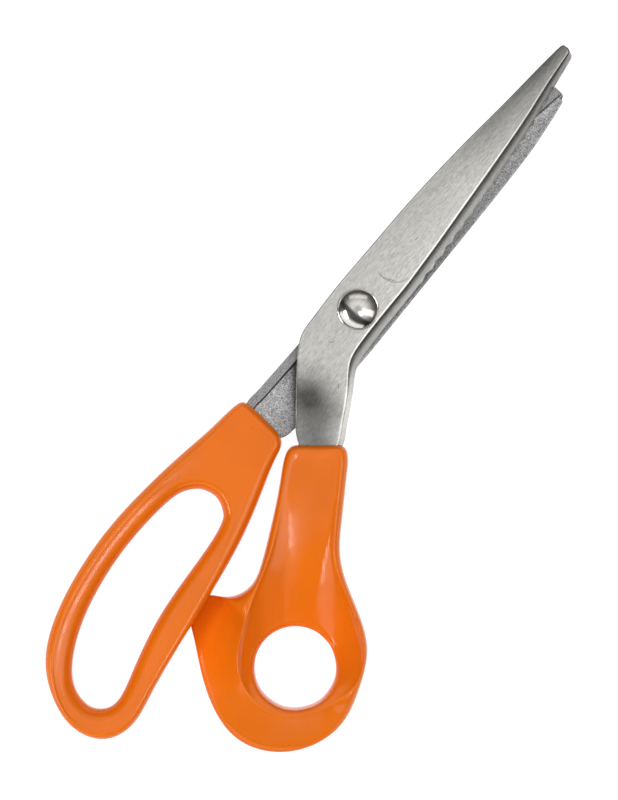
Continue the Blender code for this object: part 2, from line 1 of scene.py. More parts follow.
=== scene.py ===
"""Pinking shears, 23 cm class, lying closed on a white table, seen from straight above.

The CAD nodes give the places and the motion. Every visible piece is made again here from the
same driving curves at a finer grain, with procedural steel, bronze and moulded plastic.
Sizes are in millimetres until a mesh is made.
"""

import math

import bmesh
import bpy
import numpy as np
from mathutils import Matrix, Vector

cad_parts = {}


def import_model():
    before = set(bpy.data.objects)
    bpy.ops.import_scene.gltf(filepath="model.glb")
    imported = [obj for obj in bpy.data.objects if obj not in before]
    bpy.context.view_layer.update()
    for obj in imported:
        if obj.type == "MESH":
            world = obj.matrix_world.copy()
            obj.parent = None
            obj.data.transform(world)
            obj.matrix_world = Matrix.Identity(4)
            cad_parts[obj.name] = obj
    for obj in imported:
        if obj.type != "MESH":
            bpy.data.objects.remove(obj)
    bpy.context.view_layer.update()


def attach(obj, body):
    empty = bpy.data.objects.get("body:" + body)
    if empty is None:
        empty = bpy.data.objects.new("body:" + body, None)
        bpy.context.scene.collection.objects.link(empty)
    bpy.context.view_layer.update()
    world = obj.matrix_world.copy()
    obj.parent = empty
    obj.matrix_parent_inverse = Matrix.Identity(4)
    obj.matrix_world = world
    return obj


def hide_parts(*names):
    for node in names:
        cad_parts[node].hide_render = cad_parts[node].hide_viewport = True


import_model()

MILLIMETRE = 0.001
GAP = 0.3                     # clearance between neighbouring pieces

# Blades: heights are counted from the mating plane, where the two cutting lands meet
MATING_Z = 7.8
WEB_THICKNESS = 2.2
FLANGE_HEIGHT = 4.2           # outer face of the web to the mating plane
LAND_WIDTH = 2.4
LAND_WALL = 0.25              # plan width of the wall behind the land
LAND_FILLET = (0.4, 0.8)      # how far behind the land its inner fillet bends, and meets the web
FLANGE_SLOPE = math.radians(72)
TIGHT_BEND = math.radians(36)  # part of the bend that has the tighter radius
TIGHT_SHARE = 0.55            # that radius, over the flange's width
SPINE_BEVEL = 0.3
BEVEL_MIDDLE = 0.3            # share of the spine's bevel at its middle point
FLAT_START = 0.6              # the web's flat face starts here, so that its shading stays flat
BEND_LEAD = 0.4
TOOTH_PITCH = 4.245           # counted along the radius from the pivot
TOOTH_DEPTH = 1.9
TOOTH_CREST = 0.97            # nearer to 1, the wave's crests are sharper
TEETH = 13
TOOTH_START = 17.9            # radius at which the teeth begin
TOOTH_END = TOOTH_START + TEETH * TOOTH_PITCH
TANG_DROP = 1.6               # crank of the upper tang towards the mating plane
TANG_CRANK = (-32.0, -17.5)   # stretch of the cutting side over which it is cranked
BLADE_SMOOTH = 26             # edges sharper than this many degrees stay sharp

# Pivot
BOSS_RADIUS = 5.2
BOSS_TO_MATING = 0.55
BOSS_SINK = 1.0               # how far the boss's outer end lies inside the web
SHANK_RADIUS = 3.0
BORE_RADIUS = 3.3
BORE_ENDS = (-5.0, 25.0)      # cutters for the bores reach through everything
HEAD_RADIUS = 5.65
HEAD_RIM = 0.5
RIM_WIDTH = 0.42              # the dome starts this far inside the head's edge
DOME_HEIGHT = 1.8
DOME_RINGS = 40
SHANK_CHAMFER = 0.4
NUT_ACROSS_FLATS = 9.6
NUT_FLOOR = 0.9
WASHER_THICKNESS = 0.4
WASHER_RADIUS = 5.3
WASHER_CONE = 0.2
WASHER_EDGE = 0.06
WASHER_BORE = BORE_RADIUS + 0.1
BEARING_RADIUS = BOSS_RADIUS - 0.7
TURNED_SEGMENTS = 144
PLAIN_SEGMENTS = 96

# Handles
FINGER_TOP = 12.8
FINGER_PARTING = 7.0
FINGER_THROAT = FINGER_PARTING - 0.4
THUMB_THROAT = 5.4            # height of the thumb hole's narrowest edge
SHELF_TOP = 4.4
SHELF_EDGE = 2.6
FLANK_EDGE = 0.5              # least rise of the flank's rounded foot
FLANK_TILT = math.radians(40)
FOOT = 0.11                   # share of the flank's width that the foot takes
WIDE_FLANK = (4.0, 10.0)      # widths over which the rounded flank turns into a slope
LOW_PARTING = (2.6, 3.8)      # parting heights over which the shelf turns into the foot
FLANK_SHARES = [0.0, 0.01, 0.03, 0.06, FOOT, 0.3, 0.5, 0.8]
FLARED = [0.35, 0.6, 0.85, 0.97, 1.0, 0.12, 0.3, 0.68]  # levels of the flank beside the shelf
STRAIGHT = [0.35, 0.6, 0.82, 0.94, 1.01, 0.214, 0.438, 0.775]
REBATE = [(-82.5, -15.6), (-99.5, -18.0), (-99.5, -24.0), (-82.5, -24.0)]
REBATE_HEIGHTS = (-2.0, SHELF_TOP + 0.6)
THUMB_HOLE_CENTRE = (-87.1, -48.2)
THUMB_HOLE_RADIUS = 11.15
UNDER_RIM = 2.0               # how far the flat underside stays inside the outline
UNDER_ROLL = 2.0              # plan width of the rounding under the handles
THUMB_ROLL = 1.8              # plan width of the rounded edge of the thumb hole
SCOOP_POWER = 0.65
SCOOP_START = 40.0            # distance from the thumb hole at which its scoop begins
SCOOP_FULL = 4.0
PALM_DEPTH = 0.2              # extra share of the scoop's depth on the palm side
PALM_REACH = 8.0
NECK_TURN = math.radians(30.6)
RIDGE_LIP = 0.25              # height of the lip along the ridge
RIDGE_LIP_WIDTH = 0.9

# Upper blade: (spine x, spine y, cutting edge x, cutting edge y, flange width), tang end to tip
UPPER_STATIONS = [
    (-55.5, -21.6, -52.6, -27.4, 2.0),
    (-50.0, -18.2, -46.3, -25.4, 2.0),
    (-43.0, -13.9, -38.9, -22.6, 2.0),
    (-39.6, -11.2, -34.0, -20.8, 2.0),
    (-37.2, -8.2, -31.0, -20.0, 2.0),
    (-33.5, -5.1, -27.8, -18.3, 2.0),
    (-30.0, -2.3, -24.6, -16.55, 2.0),
    (-25.0, 1.5, -20.5, -14.3, 2.1),
    (-21.7, 4.0, -17.2, -12.3, 2.2),
    (-18.0, 6.4, -14.6, -10.7, 2.5),
    (-15.0, 7.75, -12.0, -9.6, 2.9),
    (-10.0, 8.2, -8.0, -8.95, 3.1),
    (-2.0, 8.45, -1.0, -8.75, 3.15),
    (8.0, 8.35, 7.0, -8.75, 3.15),
    (14.5, 8.15, 12.8, -8.8, 3.15),
]
UPPER_TIP = [(90.7, 2.1, 90.3, -2.25, 1.95), (91.3, 1.75, 91.1, -1.7, 1.5), (91.5, 1.4, 91.3, -1.1, 1.1)]
UPPER_EDGE = [(14.0, -8.8), (25, -8.4), (40, -7.65), (55, -6.7), (70, -5.3), (82, -3.5), (92, -2.1)]
UPPER_SPINE = [(14.0, 8.15), (30, 7.7), (50, 6.3), (70, 4.2), (85, 2.8), (92, 2.0)]
UPPER_FLANGE = [(14.0, 3.15), (60, 3.3), (80, 2.7), (92, 1.9)]
UPPER_RADII = [74.5, 76.0, 78.0, 80.0, 82.5, 85.0, 87.0, 89.0]  # sections past the teeth
# Lower blade: the same columns
LOWER_STATIONS = [
    (-57.5, -3.0, -57.5, 4.2, 2.4),
    (-50.0, -3.8, -50.0, 5.6, 2.4),
    (-42.0, -4.6, -42.0, 7.0, 2.4),
    (-39.9, -6.2, -38.6, 7.75, 2.4),
    (-36.2, -7.0, -35.8, 7.6, 2.4),
    (-30.0, -8.0, -29.5, 7.25, 2.4),
    (-20.0, -9.0, -20.0, 6.85, 2.4),
    (-12.0, -9.75, -12.5, 6.8, 2.6),
    (-4.0, -9.95, -4.0, 7.0, 3.0),
    (6.0, -9.95, 5.0, 7.2, 3.1),
    (14.5, -9.95, 12.8, 7.2, 3.1),
]
LOWER_TIP = [(79.7, -7.9, 80.4, -3.5, 2.3), (80.4, -6.9, 81.4, -3.75, 1.8)]
LOWER_EDGE = [(14.0, 7.1), (25, 5.9), (40, 3.4), (55, 0.8), (70, -1.75), (82, -3.75), (92, -5.3)]
LOWER_SPINE = [(14.0, -9.95), (40, -10.0), (55, -9.9), (65, -9.6), (72, -8.95), (80, -7.95)]
LOWER_FLANGE = [(14.0, 3.1), (60, 3.2), (82, 2.3)]
LOWER_RADII = [74.5, 76.0, 77.5, 79.0]

# Finger handle ribs: outline x, y, hole x, y, width of the outer shoulder, fall towards the hole,
# width of the roll into the hole
FINGER_RIBS = [
    (-39.5, -0.5, -64.4, -1.4, 1.7, 0.3, 3.1),
    (-39.0, 6.4, -64.5, -0.2, 1.6, 0.3, 3.1),
    (-39.5, 8.7, -64.7, 0.8, 1.5, 0.3, 3.1),
    (-41.9, 9.8, -65.1, 2.0, 1.7, 0.3, 3.1),
    (-50.0, 10.9, -66.5, 4.0, 2.2, 0.3, 3.1),
    (-60.0, 12.6, -69.5, 6.2, 2.4, 0.35, 3.3),
    (-75.0, 14.7, -77.0, 7.9, 2.2, 0.4, 4.0),
    (-90.0, 15.6, -89.5, 8.6, 2.2, 0.4, 4.0),
    (-105.0, 14.5, -103.0, 7.5, 2.1, 0.4, 4.1),
    (-120.0, 10.9, -116.0, 4.3, 2.2, 0.4, 4.6),
    (-130.0, 5.1, -124.5, 0.1, 2.0, 0.4, 4.7),
    (-136.3, -3.9, -129.5, -4.9, 1.5, 0.4, 4.8),
    (-138.1, -12.0, -130.9, -10.0, 1.3, 0.4, 5.0),
    (-135.2, -19.8, -129.3, -14.0, 1.6, 0.35, 4.8),
    (-128.0, -23.3, -125.0, -16.0, 1.7, 0.3, 4.2),
    (-117.0, -22.0, -115.5, -14.0, 1.3, 0.3, 4.0),
    (-100.0, -19.4, -100.0, -10.5, 1.1, 0.3, 4.0),
    (-85.0, -17.4, -86.0, -9.3, 1.6, 0.3, 4.0),
    (-70.0, -14.9, -74.0, -8.5, 2.4, 0.3, 3.7),
    (-57.0, -11.4, -68.3, -7.3, 2.6, 0.3, 3.1),
    (-46.0, -8.1, -66.2, -5.7, 2.0, 0.3, 3.1),
    (-41.9, -6.9, -65.1, -4.0, 1.5, 0.3, 3.1),
    (-40.4, -5.2, -64.6, -2.7, 1.5, 0.3, 3.1),
]
# Thumb handle ribs: outline x, y, ridge x, y, angle on the thumb hole in degrees,
# ridge height, outline height, fall towards the hole
THUMB_RIBS = [
    (-35.6, -14.9, -37.1, -16.0, 32, 13.6, 7.2, 7.2),
    (-38.9, -10.7, -40.1, -12.2, 38, 13.6, 7.2, 7.2),
    (-40.7, -9.3, -41.6, -11.2, 42, 13.6, 7.2, 7.2),
    (-43.2, -9.4, -43.6, -11.3, 46, 13.6, 7.2, 7.2),
    (-50.0, -12.9, -50.8, -14.9, 53, 13.7, 7.2, 7.3),
    (-60.0, -18.1, -60.7, -20.3, 61, 14.1, 7.0, 7.4),
    (-69.0, -22.3, -69.3, -24.0, 71, 14.6, 6.6, 7.7),
    (-77.0, -24.6, -77.0, -26.4, 82, 14.9, 6.0, 8.0),
    (-82.5, -22.8, -82.5, -28.4, 92, 15.0, 4.4, 8.2),
    (-85.2, -19.7, -86.5, -29.9, 99, 15.0, 3.0, 8.1),
    (-87.1, -17.2, -89.3, -31.1, 105, 15.0, 2.6, 7.9),
    (-91.3, -17.1, -92.0, -32.5, 111, 15.0, 2.6, 7.7),
    (-95.3, -17.9, -94.2, -33.9, 117, 15.0, 2.6, 7.4),
    (-97.9, -20.7, -96.0, -35.3, 123, 15.0, 2.7, 6.9),
    (-102.5, -26.4, -98.2, -37.8, 134, 15.0, 3.0, 4.9),
    (-107.8, -33.7, -100.1, -41.5, 149, 15.0, 3.4, 2.4),
    (-111.9, -42.8, -100.9, -46.0, 169, 15.0, 3.8, 0.5),
    (-112.3, -50.6, -100.0, -51.3, 191, 15.0, 3.8, 0.3),
    (-108.4, -59.2, -96.8, -56.4, 215, 15.0, 3.8, 0.3),
    (-100.0, -65.9, -91.5, -60.5, 241, 15.0, 4.0, 0.3),
    (-90.0, -67.9, -85.5, -63.0, 263, 15.0, 4.6, 0.5),
    (-80.0, -65.3, -78.9, -63.5, 289, 15.0, 5.6, 2.4),
    (-71.0, -60.6, -71.7, -59.8, 312, 14.9, 6.4, 6.0),
    (-65.0, -53.1, -66.1, -52.5, 332, 14.8, 6.8, 8.0),
    (-60.0, -44.3, -61.2, -43.7, 348, 14.5, 7.0, 8.2),
    (-55.0, -38.1, -56.3, -36.9, 3, 14.1, 7.2, 7.9),
    (-47.0, -32.4, -48.1, -30.8, 13, 13.8, 7.2, 7.6),
    (-37.0, -26.0, -38.1, -24.4, 20, 13.6, 7.2, 7.4),
    (-33.3, -23.4, -34.7, -22.1, 23, 13.6, 7.2, 7.3),
    (-31.7, -21.0, -33.4, -20.6, 26, 13.6, 7.2, 7.3),
    (-32.3, -19.1, -33.8, -19.4, 29, 13.6, 7.2, 7.2),
]

# Grain of the visible meshes
SPREAD = (0.0, 0.02, 0.05, 0.1, 0.16, 0.24, 0.33, 0.43, 0.54, 0.65, 0.76, 0.88, 1.0)
HANDLE_STATIONS = 420
SECTION_POINTS = 96
CORNER_STEPS = 9
TANG_SECTIONS = 110
TOOTH_STATIONS = 12
BEND_STEPS = 12
CORNER_SOFTNESS = 0.42
CURVE_GATHER = 2.2            # how strongly points gather where a section bends
MOULD_FIT = 0.03              # play between the plastic and the steel that it is moulded round


# ---- meshes

def mesh_piece(name, vertices, faces, finish, smooth_angle=30.0):
    """A piece from points in millimetres, with its faces turned outwards."""
    mesh = bpy.data.meshes.new(name)
    points = [tuple(float(value) * MILLIMETRE for value in vertex) for vertex in vertices]
    mesh.from_pydata(points, [], faces)
    work = bmesh.new()
    work.from_mesh(mesh)
    bmesh.ops.recalc_face_normals(work, faces=work.faces)
    if work.calc_volume(signed=True) < 0:
        bmesh.ops.reverse_faces(work, faces=work.faces)
    work.to_mesh(mesh)
    work.free()
    mesh.shade_smooth()
    mesh.set_sharp_from_angle(angle=math.radians(smooth_angle))
    if finish:
        mesh.materials.append(finish)
    piece = bpy.data.objects.new(name, mesh)
    bpy.context.scene.collection.objects.link(piece)
    return piece


def loft(sections, closed):
    """Faces between successive closed sections; the ends are joined or capped."""
    count = len(sections)
    size = len(sections[0])
    vertices = [point for section in sections for point in section]
    faces = []
    for i in range(count if closed else count - 1):
        near = i * size
        far = (i + 1) % count * size
        for j in range(size):
            k = (j + 1) % size
            faces.append((near + j, near + k, far + k, far + j))
    if not closed:
        faces.append(tuple(range(size)))
        faces.append(tuple(range((count - 1) * size, count * size)))
    return vertices, faces


def turned(rings, segments, blind=True):
    """Faces of rings of (radius, z) or (radius function, z), capped or joined end to end."""
    sections = []
    for radius, z in rings:
        section = []
        for k in range(segments):
            angle = math.tau * k / segments
            reach = radius(angle) if callable(radius) else radius
            section.append((reach * math.cos(angle), reach * math.sin(angle), z))
        sections.append(section)
    return loft(sections, closed=not blind)


def applied_boolean(piece, cutter, operation):
    """Cut or join a solid for good, and drop the cutter."""
    step = piece.modifiers.new(operation.lower(), "BOOLEAN")
    step.operation = operation
    step.solver = "EXACT"
    step.object = cutter
    bpy.context.view_layer.update()
    graph = bpy.context.evaluated_depsgraph_get()
    mesh = bpy.data.meshes.new_from_object(piece.evaluated_get(graph))
    piece.modifiers.remove(step)
    old = piece.data
    piece.data = mesh
    bpy.data.meshes.remove(old)
    bpy.data.objects.remove(cutter, do_unlink=True)


# ---- curves

def smooth_step(value, low, high):
    """0 below low, 1 above high, and smooth between."""
    t = min(max((value - low) / (high - low), 0.0), 1.0)
    return t * t * (3 - 2 * t)


def hermite(here, there, slope_here, slope_there, width, t):
    """Point of a cubic piece at t from 0 to 1."""
    return (
        (2 * t**3 - 3 * t**2 + 1) * here
        + (t**3 - 2 * t**2 + t) * width * slope_here
        + (3 * t**2 - 2 * t**3) * there
        + (t**3 - t**2) * width * slope_there
    )


def spline(columns, count, closed):
    """Smooth curve through rows of values, sampled about evenly along its first two columns."""
    rows = np.array(columns, dtype=float)
    total = len(rows)
    pieces = total if closed else total - 1
    nexts = [(i + 1) % total for i in range(total)]
    chords = np.array([np.linalg.norm(rows[nexts[i], :2] - rows[i, :2]) for i in range(total)])
    steps = chords**0.7
    system = np.zeros((total, total))
    right = np.zeros_like(rows)
    for i in range(total):
        if not closed and i in (0, total - 1):
            j = 1 if i == 0 else total - 2
            width = steps[min(i, j)]
            system[i, i], system[i, j] = 2, 1
            right[i] = 3 * (rows[max(i, j)] - rows[min(i, j)]) / width
            continue
        before, after = steps[i - 1], steps[i]
        system[i, i - 1] += after
        system[i, i] += 2 * (before + after)
        system[i, nexts[i]] += before
        rise = (rows[nexts[i]] - rows[i]) / after
        fall = (rows[i] - rows[i - 1]) / before
        right[i] = 3 * (before * rise + after * fall)
    slopes = np.linalg.solve(system, right)
    target = chords[:pieces].sum() / count
    made = []
    for i in range(pieces):
        parts = max(2, round(chords[i] / target))
        for k in range(parts):
            ends = (rows[i], rows[nexts[i]], slopes[i], slopes[nexts[i]])
            made.append(hermite(*ends, steps[i], k / parts))
    if not closed:
        made.append(rows[-1])
    return made


def curve_value(points, x):
    """Smooth value at x of a curve through (x, y) points."""
    xs = [point[0] for point in points]
    ys = [point[1] for point in points]
    slopes = np.gradient(ys, xs)
    i = min(max(int(np.searchsorted(xs, x)) - 1, 0), len(xs) - 2)
    width = xs[i + 1] - xs[i]
    return float(hermite(ys[i], ys[i + 1], slopes[i], slopes[i + 1], width, (x - xs[i]) / width))


# ---- blades

def tooth_height(radius):
    """Height of the zigzag mating surface over the mating plane at a radius from the pivot."""
    if not TOOTH_START < radius < TOOTH_END:
        return 0.0
    phase = (radius - TOOTH_START) / TOOTH_PITCH
    rounded = math.asin(TOOTH_CREST * math.sin(math.tau * phase)) / math.asin(TOOTH_CREST)
    return -rounded * TOOTH_DEPTH / 2


def point_at_radius(curve, radius):
    """The point of a curve over x that lies at a radius from the pivot."""
    low, high = 0.0, radius
    for _ in range(40):
        middle = (low + high) / 2
        if math.hypot(middle, curve_value(curve, middle)) < radius:
            low = middle
        else:
            high = middle
    return np.array((low, curve_value(curve, low)))


def turn(point, angle):
    """A plan point turned about the pivot."""
    c, s = math.cos(angle), math.sin(angle)
    return np.array((point[0] * c - point[1] * s, point[0] * s + point[1] * c))


def blade_section(spine, edge, flange, side, arc, drop, grow=0.0):
    """Closed section of a blade, from its spine over the bend to its cutting edge and back.

    side is 1 for the upper blade and -1 for the lower. With arc the land follows the circle
    about the pivot, so that teeth pass each other. drop moves a cranked tang to the mating plane.
    grow gives the plain envelope that the plastic is moulded round.
    """
    across = (spine - edge) / np.linalg.norm(spine - edge)
    reach = np.linalg.norm(edge)

    def tooth(plan):
        """Rise of the land at a plan point."""
        return side * tooth_height(np.linalg.norm(plan)) if arc else 0.0

    def inboard(distance):
        """The point that lies a distance inside the cutting edge along the land."""
        return turn(edge, side * distance / reach) if arc else edge + across * distance

    top = FLANGE_HEIGHT - drop
    under = top - WEB_THICKNESS
    land = GAP / 2 - drop
    lean = 1 / math.tan(FLANGE_SLOPE)
    cutting = edge + across * tooth(edge) * lean
    bend_start = edge + across * flange
    sine, cosine = math.sin(TIGHT_BEND), math.cos(TIGHT_BEND)
    tight = TIGHT_SHARE * flange
    wide = (flange - (FLANGE_HEIGHT - GAP / 2) * lean - tight * (sine - (1 - cosine) * lean)) / (
        math.sin(FLANGE_SLOPE) - sine - (cosine - math.cos(FLANGE_SLOPE)) * lean
    )
    inner = inboard(LAND_WIDTH)
    wall = inboard(LAND_WIDTH + LAND_WALL)
    bevel = SPINE_BEVEL * BEVEL_MIDDLE
    fillet, corner = inboard(LAND_WIDTH + LAND_FILLET[0]), inboard(LAND_WIDTH + LAND_FILLET[1])
    section = [(spine - across * SPINE_BEVEL, top), (spine - across * FLAT_START, top)]
    section += [(bend_start + across * BEND_LEAD, top), (bend_start, top)]
    for k in range(1, BEND_STEPS + 1):
        angle = FLANGE_SLOPE * k / BEND_STEPS
        first = min(angle, TIGHT_BEND)
        out = tight * math.sin(first) + wide * (math.sin(angle) - math.sin(first))
        fall = tight * (1 - math.cos(first)) + wide * (math.cos(first) - math.cos(angle))
        section.append((bend_start - across * out, top - fall))
    section += [
        (cutting, land + tooth(edge)),
        (inner, land + tooth(inner)),
        (wall, under - 0.5),
        (fillet, under - 0.15),
        (corner, under),
        (spine - across * FLAT_START, under),
        (spine - across * SPINE_BEVEL, under),
        (spine - across * bevel, under + bevel),
        (spine, under + SPINE_BEVEL),
        (spine, top - SPINE_BEVEL),
        (spine - across * bevel, top - bevel),
    ]
    if grow:
        low = edge - across * grow
        high = spine + across * grow
        bottom = land - grow
        section = [(high, top + grow), (low, top + grow), (low, bottom), (high, bottom)]
    return [(plan[0], plan[1], MATING_Z + side * level) for plan, level in section]


def tang_sections(rows, side, grow=0.0):
    """Sections along a tang and past the pivot, from the rows of a smooth curve."""
    made = []
    for row in rows:
        spine, edge, flange = np.array(row[:2]), np.array(row[2:4]), row[4]
        drop = TANG_DROP * (1 - smooth_step(edge[0], *TANG_CRANK)) if side > 0 else 0.0
        made.append(blade_section(spine, edge, flange, side, False, drop, grow))
    return made


def blade_sections(stations, tip, edge_curve, spine_curve, flange_curve, last_radii, side):
    """All sections of a blade, from the tang's end to the tip."""
    step = TOOTH_PITCH / TOOTH_STATIONS
    radii = [TOOTH_START + step * k for k in range(TOOTH_STATIONS * TEETH + 1)] + last_radii
    sections = tang_sections(spline(stations, TANG_SECTIONS, closed=False), side)
    for radius in radii:
        edge = point_at_radius(edge_curve, radius)
        spine = point_at_radius(spine_curve, radius)
        flange = curve_value(flange_curve, edge[0])
        sections.append(blade_section(spine, edge, flange, side, True, 0.0))
    for row in tip:
        spine, edge = np.array(row[:2]), np.array(row[2:4])
        sections.append(blade_section(spine, edge, row[4], side, True, 0.0))
    return sections


def cylinder(radius, low, high):
    """A plain upright cylinder about the pivot axis, to join or to cut."""
    return mesh_piece("pivot_cutter", *turned([(radius, low), (radius, high)], PLAIN_SEGMENTS), None)


def blade(name, sections, side, finish):
    """A blade with its pivot boss and bore."""
    piece = mesh_piece(name, *loft(sections, closed=False), finish, BLADE_SMOOTH)
    faces = sorted((MATING_Z + side * BOSS_TO_MATING, MATING_Z + side * (FLANGE_HEIGHT - BOSS_SINK)))
    applied_boolean(piece, cylinder(BOSS_RADIUS, *faces), "UNION")
    applied_boolean(piece, cylinder(BORE_RADIUS, *BORE_ENDS), "DIFFERENCE")
    piece.data.shade_smooth()
    piece.data.set_sharp_from_angle(angle=math.radians(BLADE_SMOOTH))
    return piece


# ---- handles

def rounded_corner(start, end, low, high, power=0.8):
    """Points of a rounded corner that leaves one height upright and reaches the other flat."""
    made = []
    for k in range(1, CORNER_STEPS):
        angle = k / CORNER_STEPS * math.pi / 2
        plan = end + (start - end) * math.cos(angle) ** power
        made.append((plan, low + (high - low) * math.sin(angle) ** power))
    return made


def inset_point(outline, index, distance, reach=2):
    """A point inside a closed counter-clockwise outline, square to its run at one station."""
    run = outline[(index + reach) % len(outline)] - outline[index - reach]
    normal = np.array((-run[1], run[0])) / np.linalg.norm(run)
    return outline[index] + normal * distance


def evened(points, count, softness):
    """A closed section resampled evenly, with its corners rounded over a small width."""
    loop = np.array(points + points[:1])
    steps = np.linalg.norm(np.diff(loop, axis=0), axis=1)
    length = np.concatenate(([0], np.cumsum(steps)))
    fine = count * 4
    grid = np.linspace(0, length[-1], fine, endpoint=False)
    dense = np.stack([np.interp(grid, length, loop[:, axis]) for axis in range(3)], axis=1)
    spacing = length[-1] / fine
    sigma = softness / spacing
    offsets = np.arange(fine)
    offsets = np.minimum(offsets, fine - offsets)
    kernel = np.exp(-0.5 * (offsets / sigma) ** 2)
    kernel /= kernel.sum()
    smooth = np.fft.ifft(np.fft.fft(dense, axis=0) * np.fft.fft(kernel)[:, None], axis=0).real
    bend = np.linalg.norm(np.roll(smooth, -1, 0) + np.roll(smooth, 1, 0) - 2 * smooth, axis=1)
    weight = spacing + CURVE_GATHER * np.sqrt(np.maximum(bend, 1e-9))
    blur = np.exp(-0.5 * (offsets / (fine / count)) ** 2)
    blur /= blur.sum()
    weight = np.fft.ifft(np.fft.fft(weight) * np.fft.fft(blur)).real
    share = np.concatenate(([0], np.cumsum(weight)))
    picks = np.interp(np.linspace(0, share[-1], count, endpoint=False), share, np.arange(fine + 1))
    closed = np.vstack([smooth, smooth[:1]])
    columns = [np.interp(picks, np.arange(fine + 1), closed[:, axis]) for axis in range(3)]
    return list(zip(*columns))


def distance_to_curve(points, curve):
    """Distance of each plan point from an open curve."""
    start = np.array(curve[:-1])
    run = np.array(curve[1:]) - start
    offset = np.array(points)[:, None, :] - start[None]
    share = np.clip((offset * run).sum(-1) / (run * run).sum(-1), 0, 1)
    return np.linalg.norm(offset - share[..., None] * run, axis=-1).min(1)


def distance_to_ridge(points, ridge):
    """Distance from the thumb handle's ridge, blended smoothly between its two sides."""
    half = len(ridge) // 2
    left = distance_to_curve(points, ridge[:half + 1])
    right = distance_to_curve(points, ridge[half:] + ridge[:1])
    nearest = np.minimum(left, right)
    return nearest / (1 + (nearest / np.maximum(np.maximum(left, right), 1e-6)) ** 3) ** (1 / 3)


def ring_section(plan, parting, throat, skirt, top):
    """One closed section of a handle, from the outline over the ridge into the hole and back."""
    outer, hole, low_crest, low_roll = plan
    roll, roll_z = top[-1]
    points = [(outer, parting)]
    points += skirt
    points += top
    points += reversed(rounded_corner(hole, roll, throat, roll_z))
    points += [(hole, throat)]
    points += rounded_corner(hole, low_roll, throat, 0.0)
    points += [(low_roll, 0.0), (low_crest, 0.0)]
    points += reversed(rounded_corner(outer, low_crest, parting, 0.0))
    return evened([(p[0], p[1], z) for p, z in points], SECTION_POINTS, CORNER_SOFTNESS)


def finger_sections():
    """Closed sections round the finger loop."""
    rows = spline(FINGER_RIBS, HANDLE_STATIONS, closed=True)
    outline = [row[:2] for row in rows]
    holes = [row[2:4] for row in rows]
    sections = []
    for i, row in enumerate(rows):
        outer, hole = row[:2], row[2:4]
        shoulder, dip, width = row[4:7]
        crest = inset_point(outline, i, shoulder)
        span = np.linalg.norm(crest - hole)
        outward = hole - inset_point(holes, i, 1.0, 4)
        roll = hole + outward * min(width, span * 0.9)
        low_roll = hole + outward * min(UNDER_ROLL, span * 0.5)
        top = [(crest + (roll - crest) * share, FINGER_TOP - dip * share**2) for share in SPREAD]
        skirt = rounded_corner(outer, crest, FINGER_PARTING, FINGER_TOP)
        plan = (outer, hole, inset_point(outline, i, UNDER_RIM), low_roll)
        sections.append(ring_section(plan, FINGER_PARTING, FINGER_THROAT, skirt, top))
    return sections


def thumb_skirt(outer, crest, parting, top):
    """The flank between the ridge and the outline: round where narrow, a slope or a shelf where wide."""
    width = np.linalg.norm(crest - outer)
    slope = smooth_step(width, *WIDE_FLANK)
    shelf = 1 - smooth_step(parting, *LOW_PARTING)
    rounded = rounded_corner(outer, crest, parting, top)
    foot = max(parting + FLANK_EDGE, top - (1 - FOOT) * width * math.tan(FLANK_TILT))
    low = foot + (parting + SHELF_TOP - SHELF_EDGE - foot) * shelf
    sloped = []
    for share, steep, wide in zip(FLANK_SHARES, STRAIGHT, FLARED):
        level = steep + (wide - steep) * shelf
        z = parting + (low - parting) * level
        if share > FOOT:
            z = low + (top - low) * level
        sloped.append((outer + (crest - outer) * share, z))
    return [
        (a[0] * (1 - slope) + b[0] * slope, a[1] * (1 - slope) + b[1] * slope)
        for a, b in zip(rounded, sloped)
    ]


def scoop_depths(points, ridge, dip):
    """How far the thumb scoop lies under its ridge: a bowl round the hole, deeper on the palm side."""
    from_ridge = distance_to_ridge(points, ridge)
    offset = np.array(points) - THUMB_HOLE_CENTRE
    from_hole = np.linalg.norm(offset, axis=1) - THUMB_HOLE_RADIUS
    palm_side = offset @ np.array((math.sin(NECK_TURN), -math.cos(NECK_TURN)))
    fade = np.array([1 - smooth_step(distance, SCOOP_FULL, SCOOP_START) for distance in from_hole])
    bowl = (from_ridge / (from_ridge + from_hole)) ** SCOOP_POWER
    lip = RIDGE_LIP * np.minimum(from_ridge / RIDGE_LIP_WIDTH, 1.0)
    return lip + dip * bowl * (1 + PALM_DEPTH * np.tanh(palm_side / PALM_REACH)) * fade


def thumb_sections():
    """Closed sections round the thumb ring."""
    x, y = THUMB_HOLE_CENTRE
    ribs = []
    for rib in THUMB_RIBS:
        angle = math.radians(rib[4])
        rim = (x + THUMB_HOLE_RADIUS * math.cos(angle), y + THUMB_HOLE_RADIUS * math.sin(angle))
        ribs.append(rib[:4] + rim + rib[5:])
    rows = spline(ribs, HANDLE_STATIONS, closed=True)
    outline = [row[:2] for row in rows]
    ridge = [row[2:4] for row in rows]
    sections = []
    for i, row in enumerate(rows):
        outer, crest, hole = row[:2], row[2:4], row[4:6]
        crest_z, parting, dip = row[6:9]
        inward = crest - hole
        span = np.linalg.norm(inward)
        inward = inward / span
        roll = hole + inward * min(THUMB_ROLL, span * 0.36)
        low_roll = hole + inward * min(THUMB_ROLL, span * 0.8)
        surface = [crest + (roll - crest) * share for share in SPREAD]
        falls = scoop_depths(surface, ridge, dip)
        top = [(point, crest_z - fall) for point, fall in zip(surface, falls)]
        skirt = thumb_skirt(outer, crest, parting, crest_z)
        plan = (outer, hole, inset_point(outline, i, UNDER_RIM), low_roll)
        sections.append(ring_section(plan, parting, THUMB_THROAT, skirt, top))
    return sections


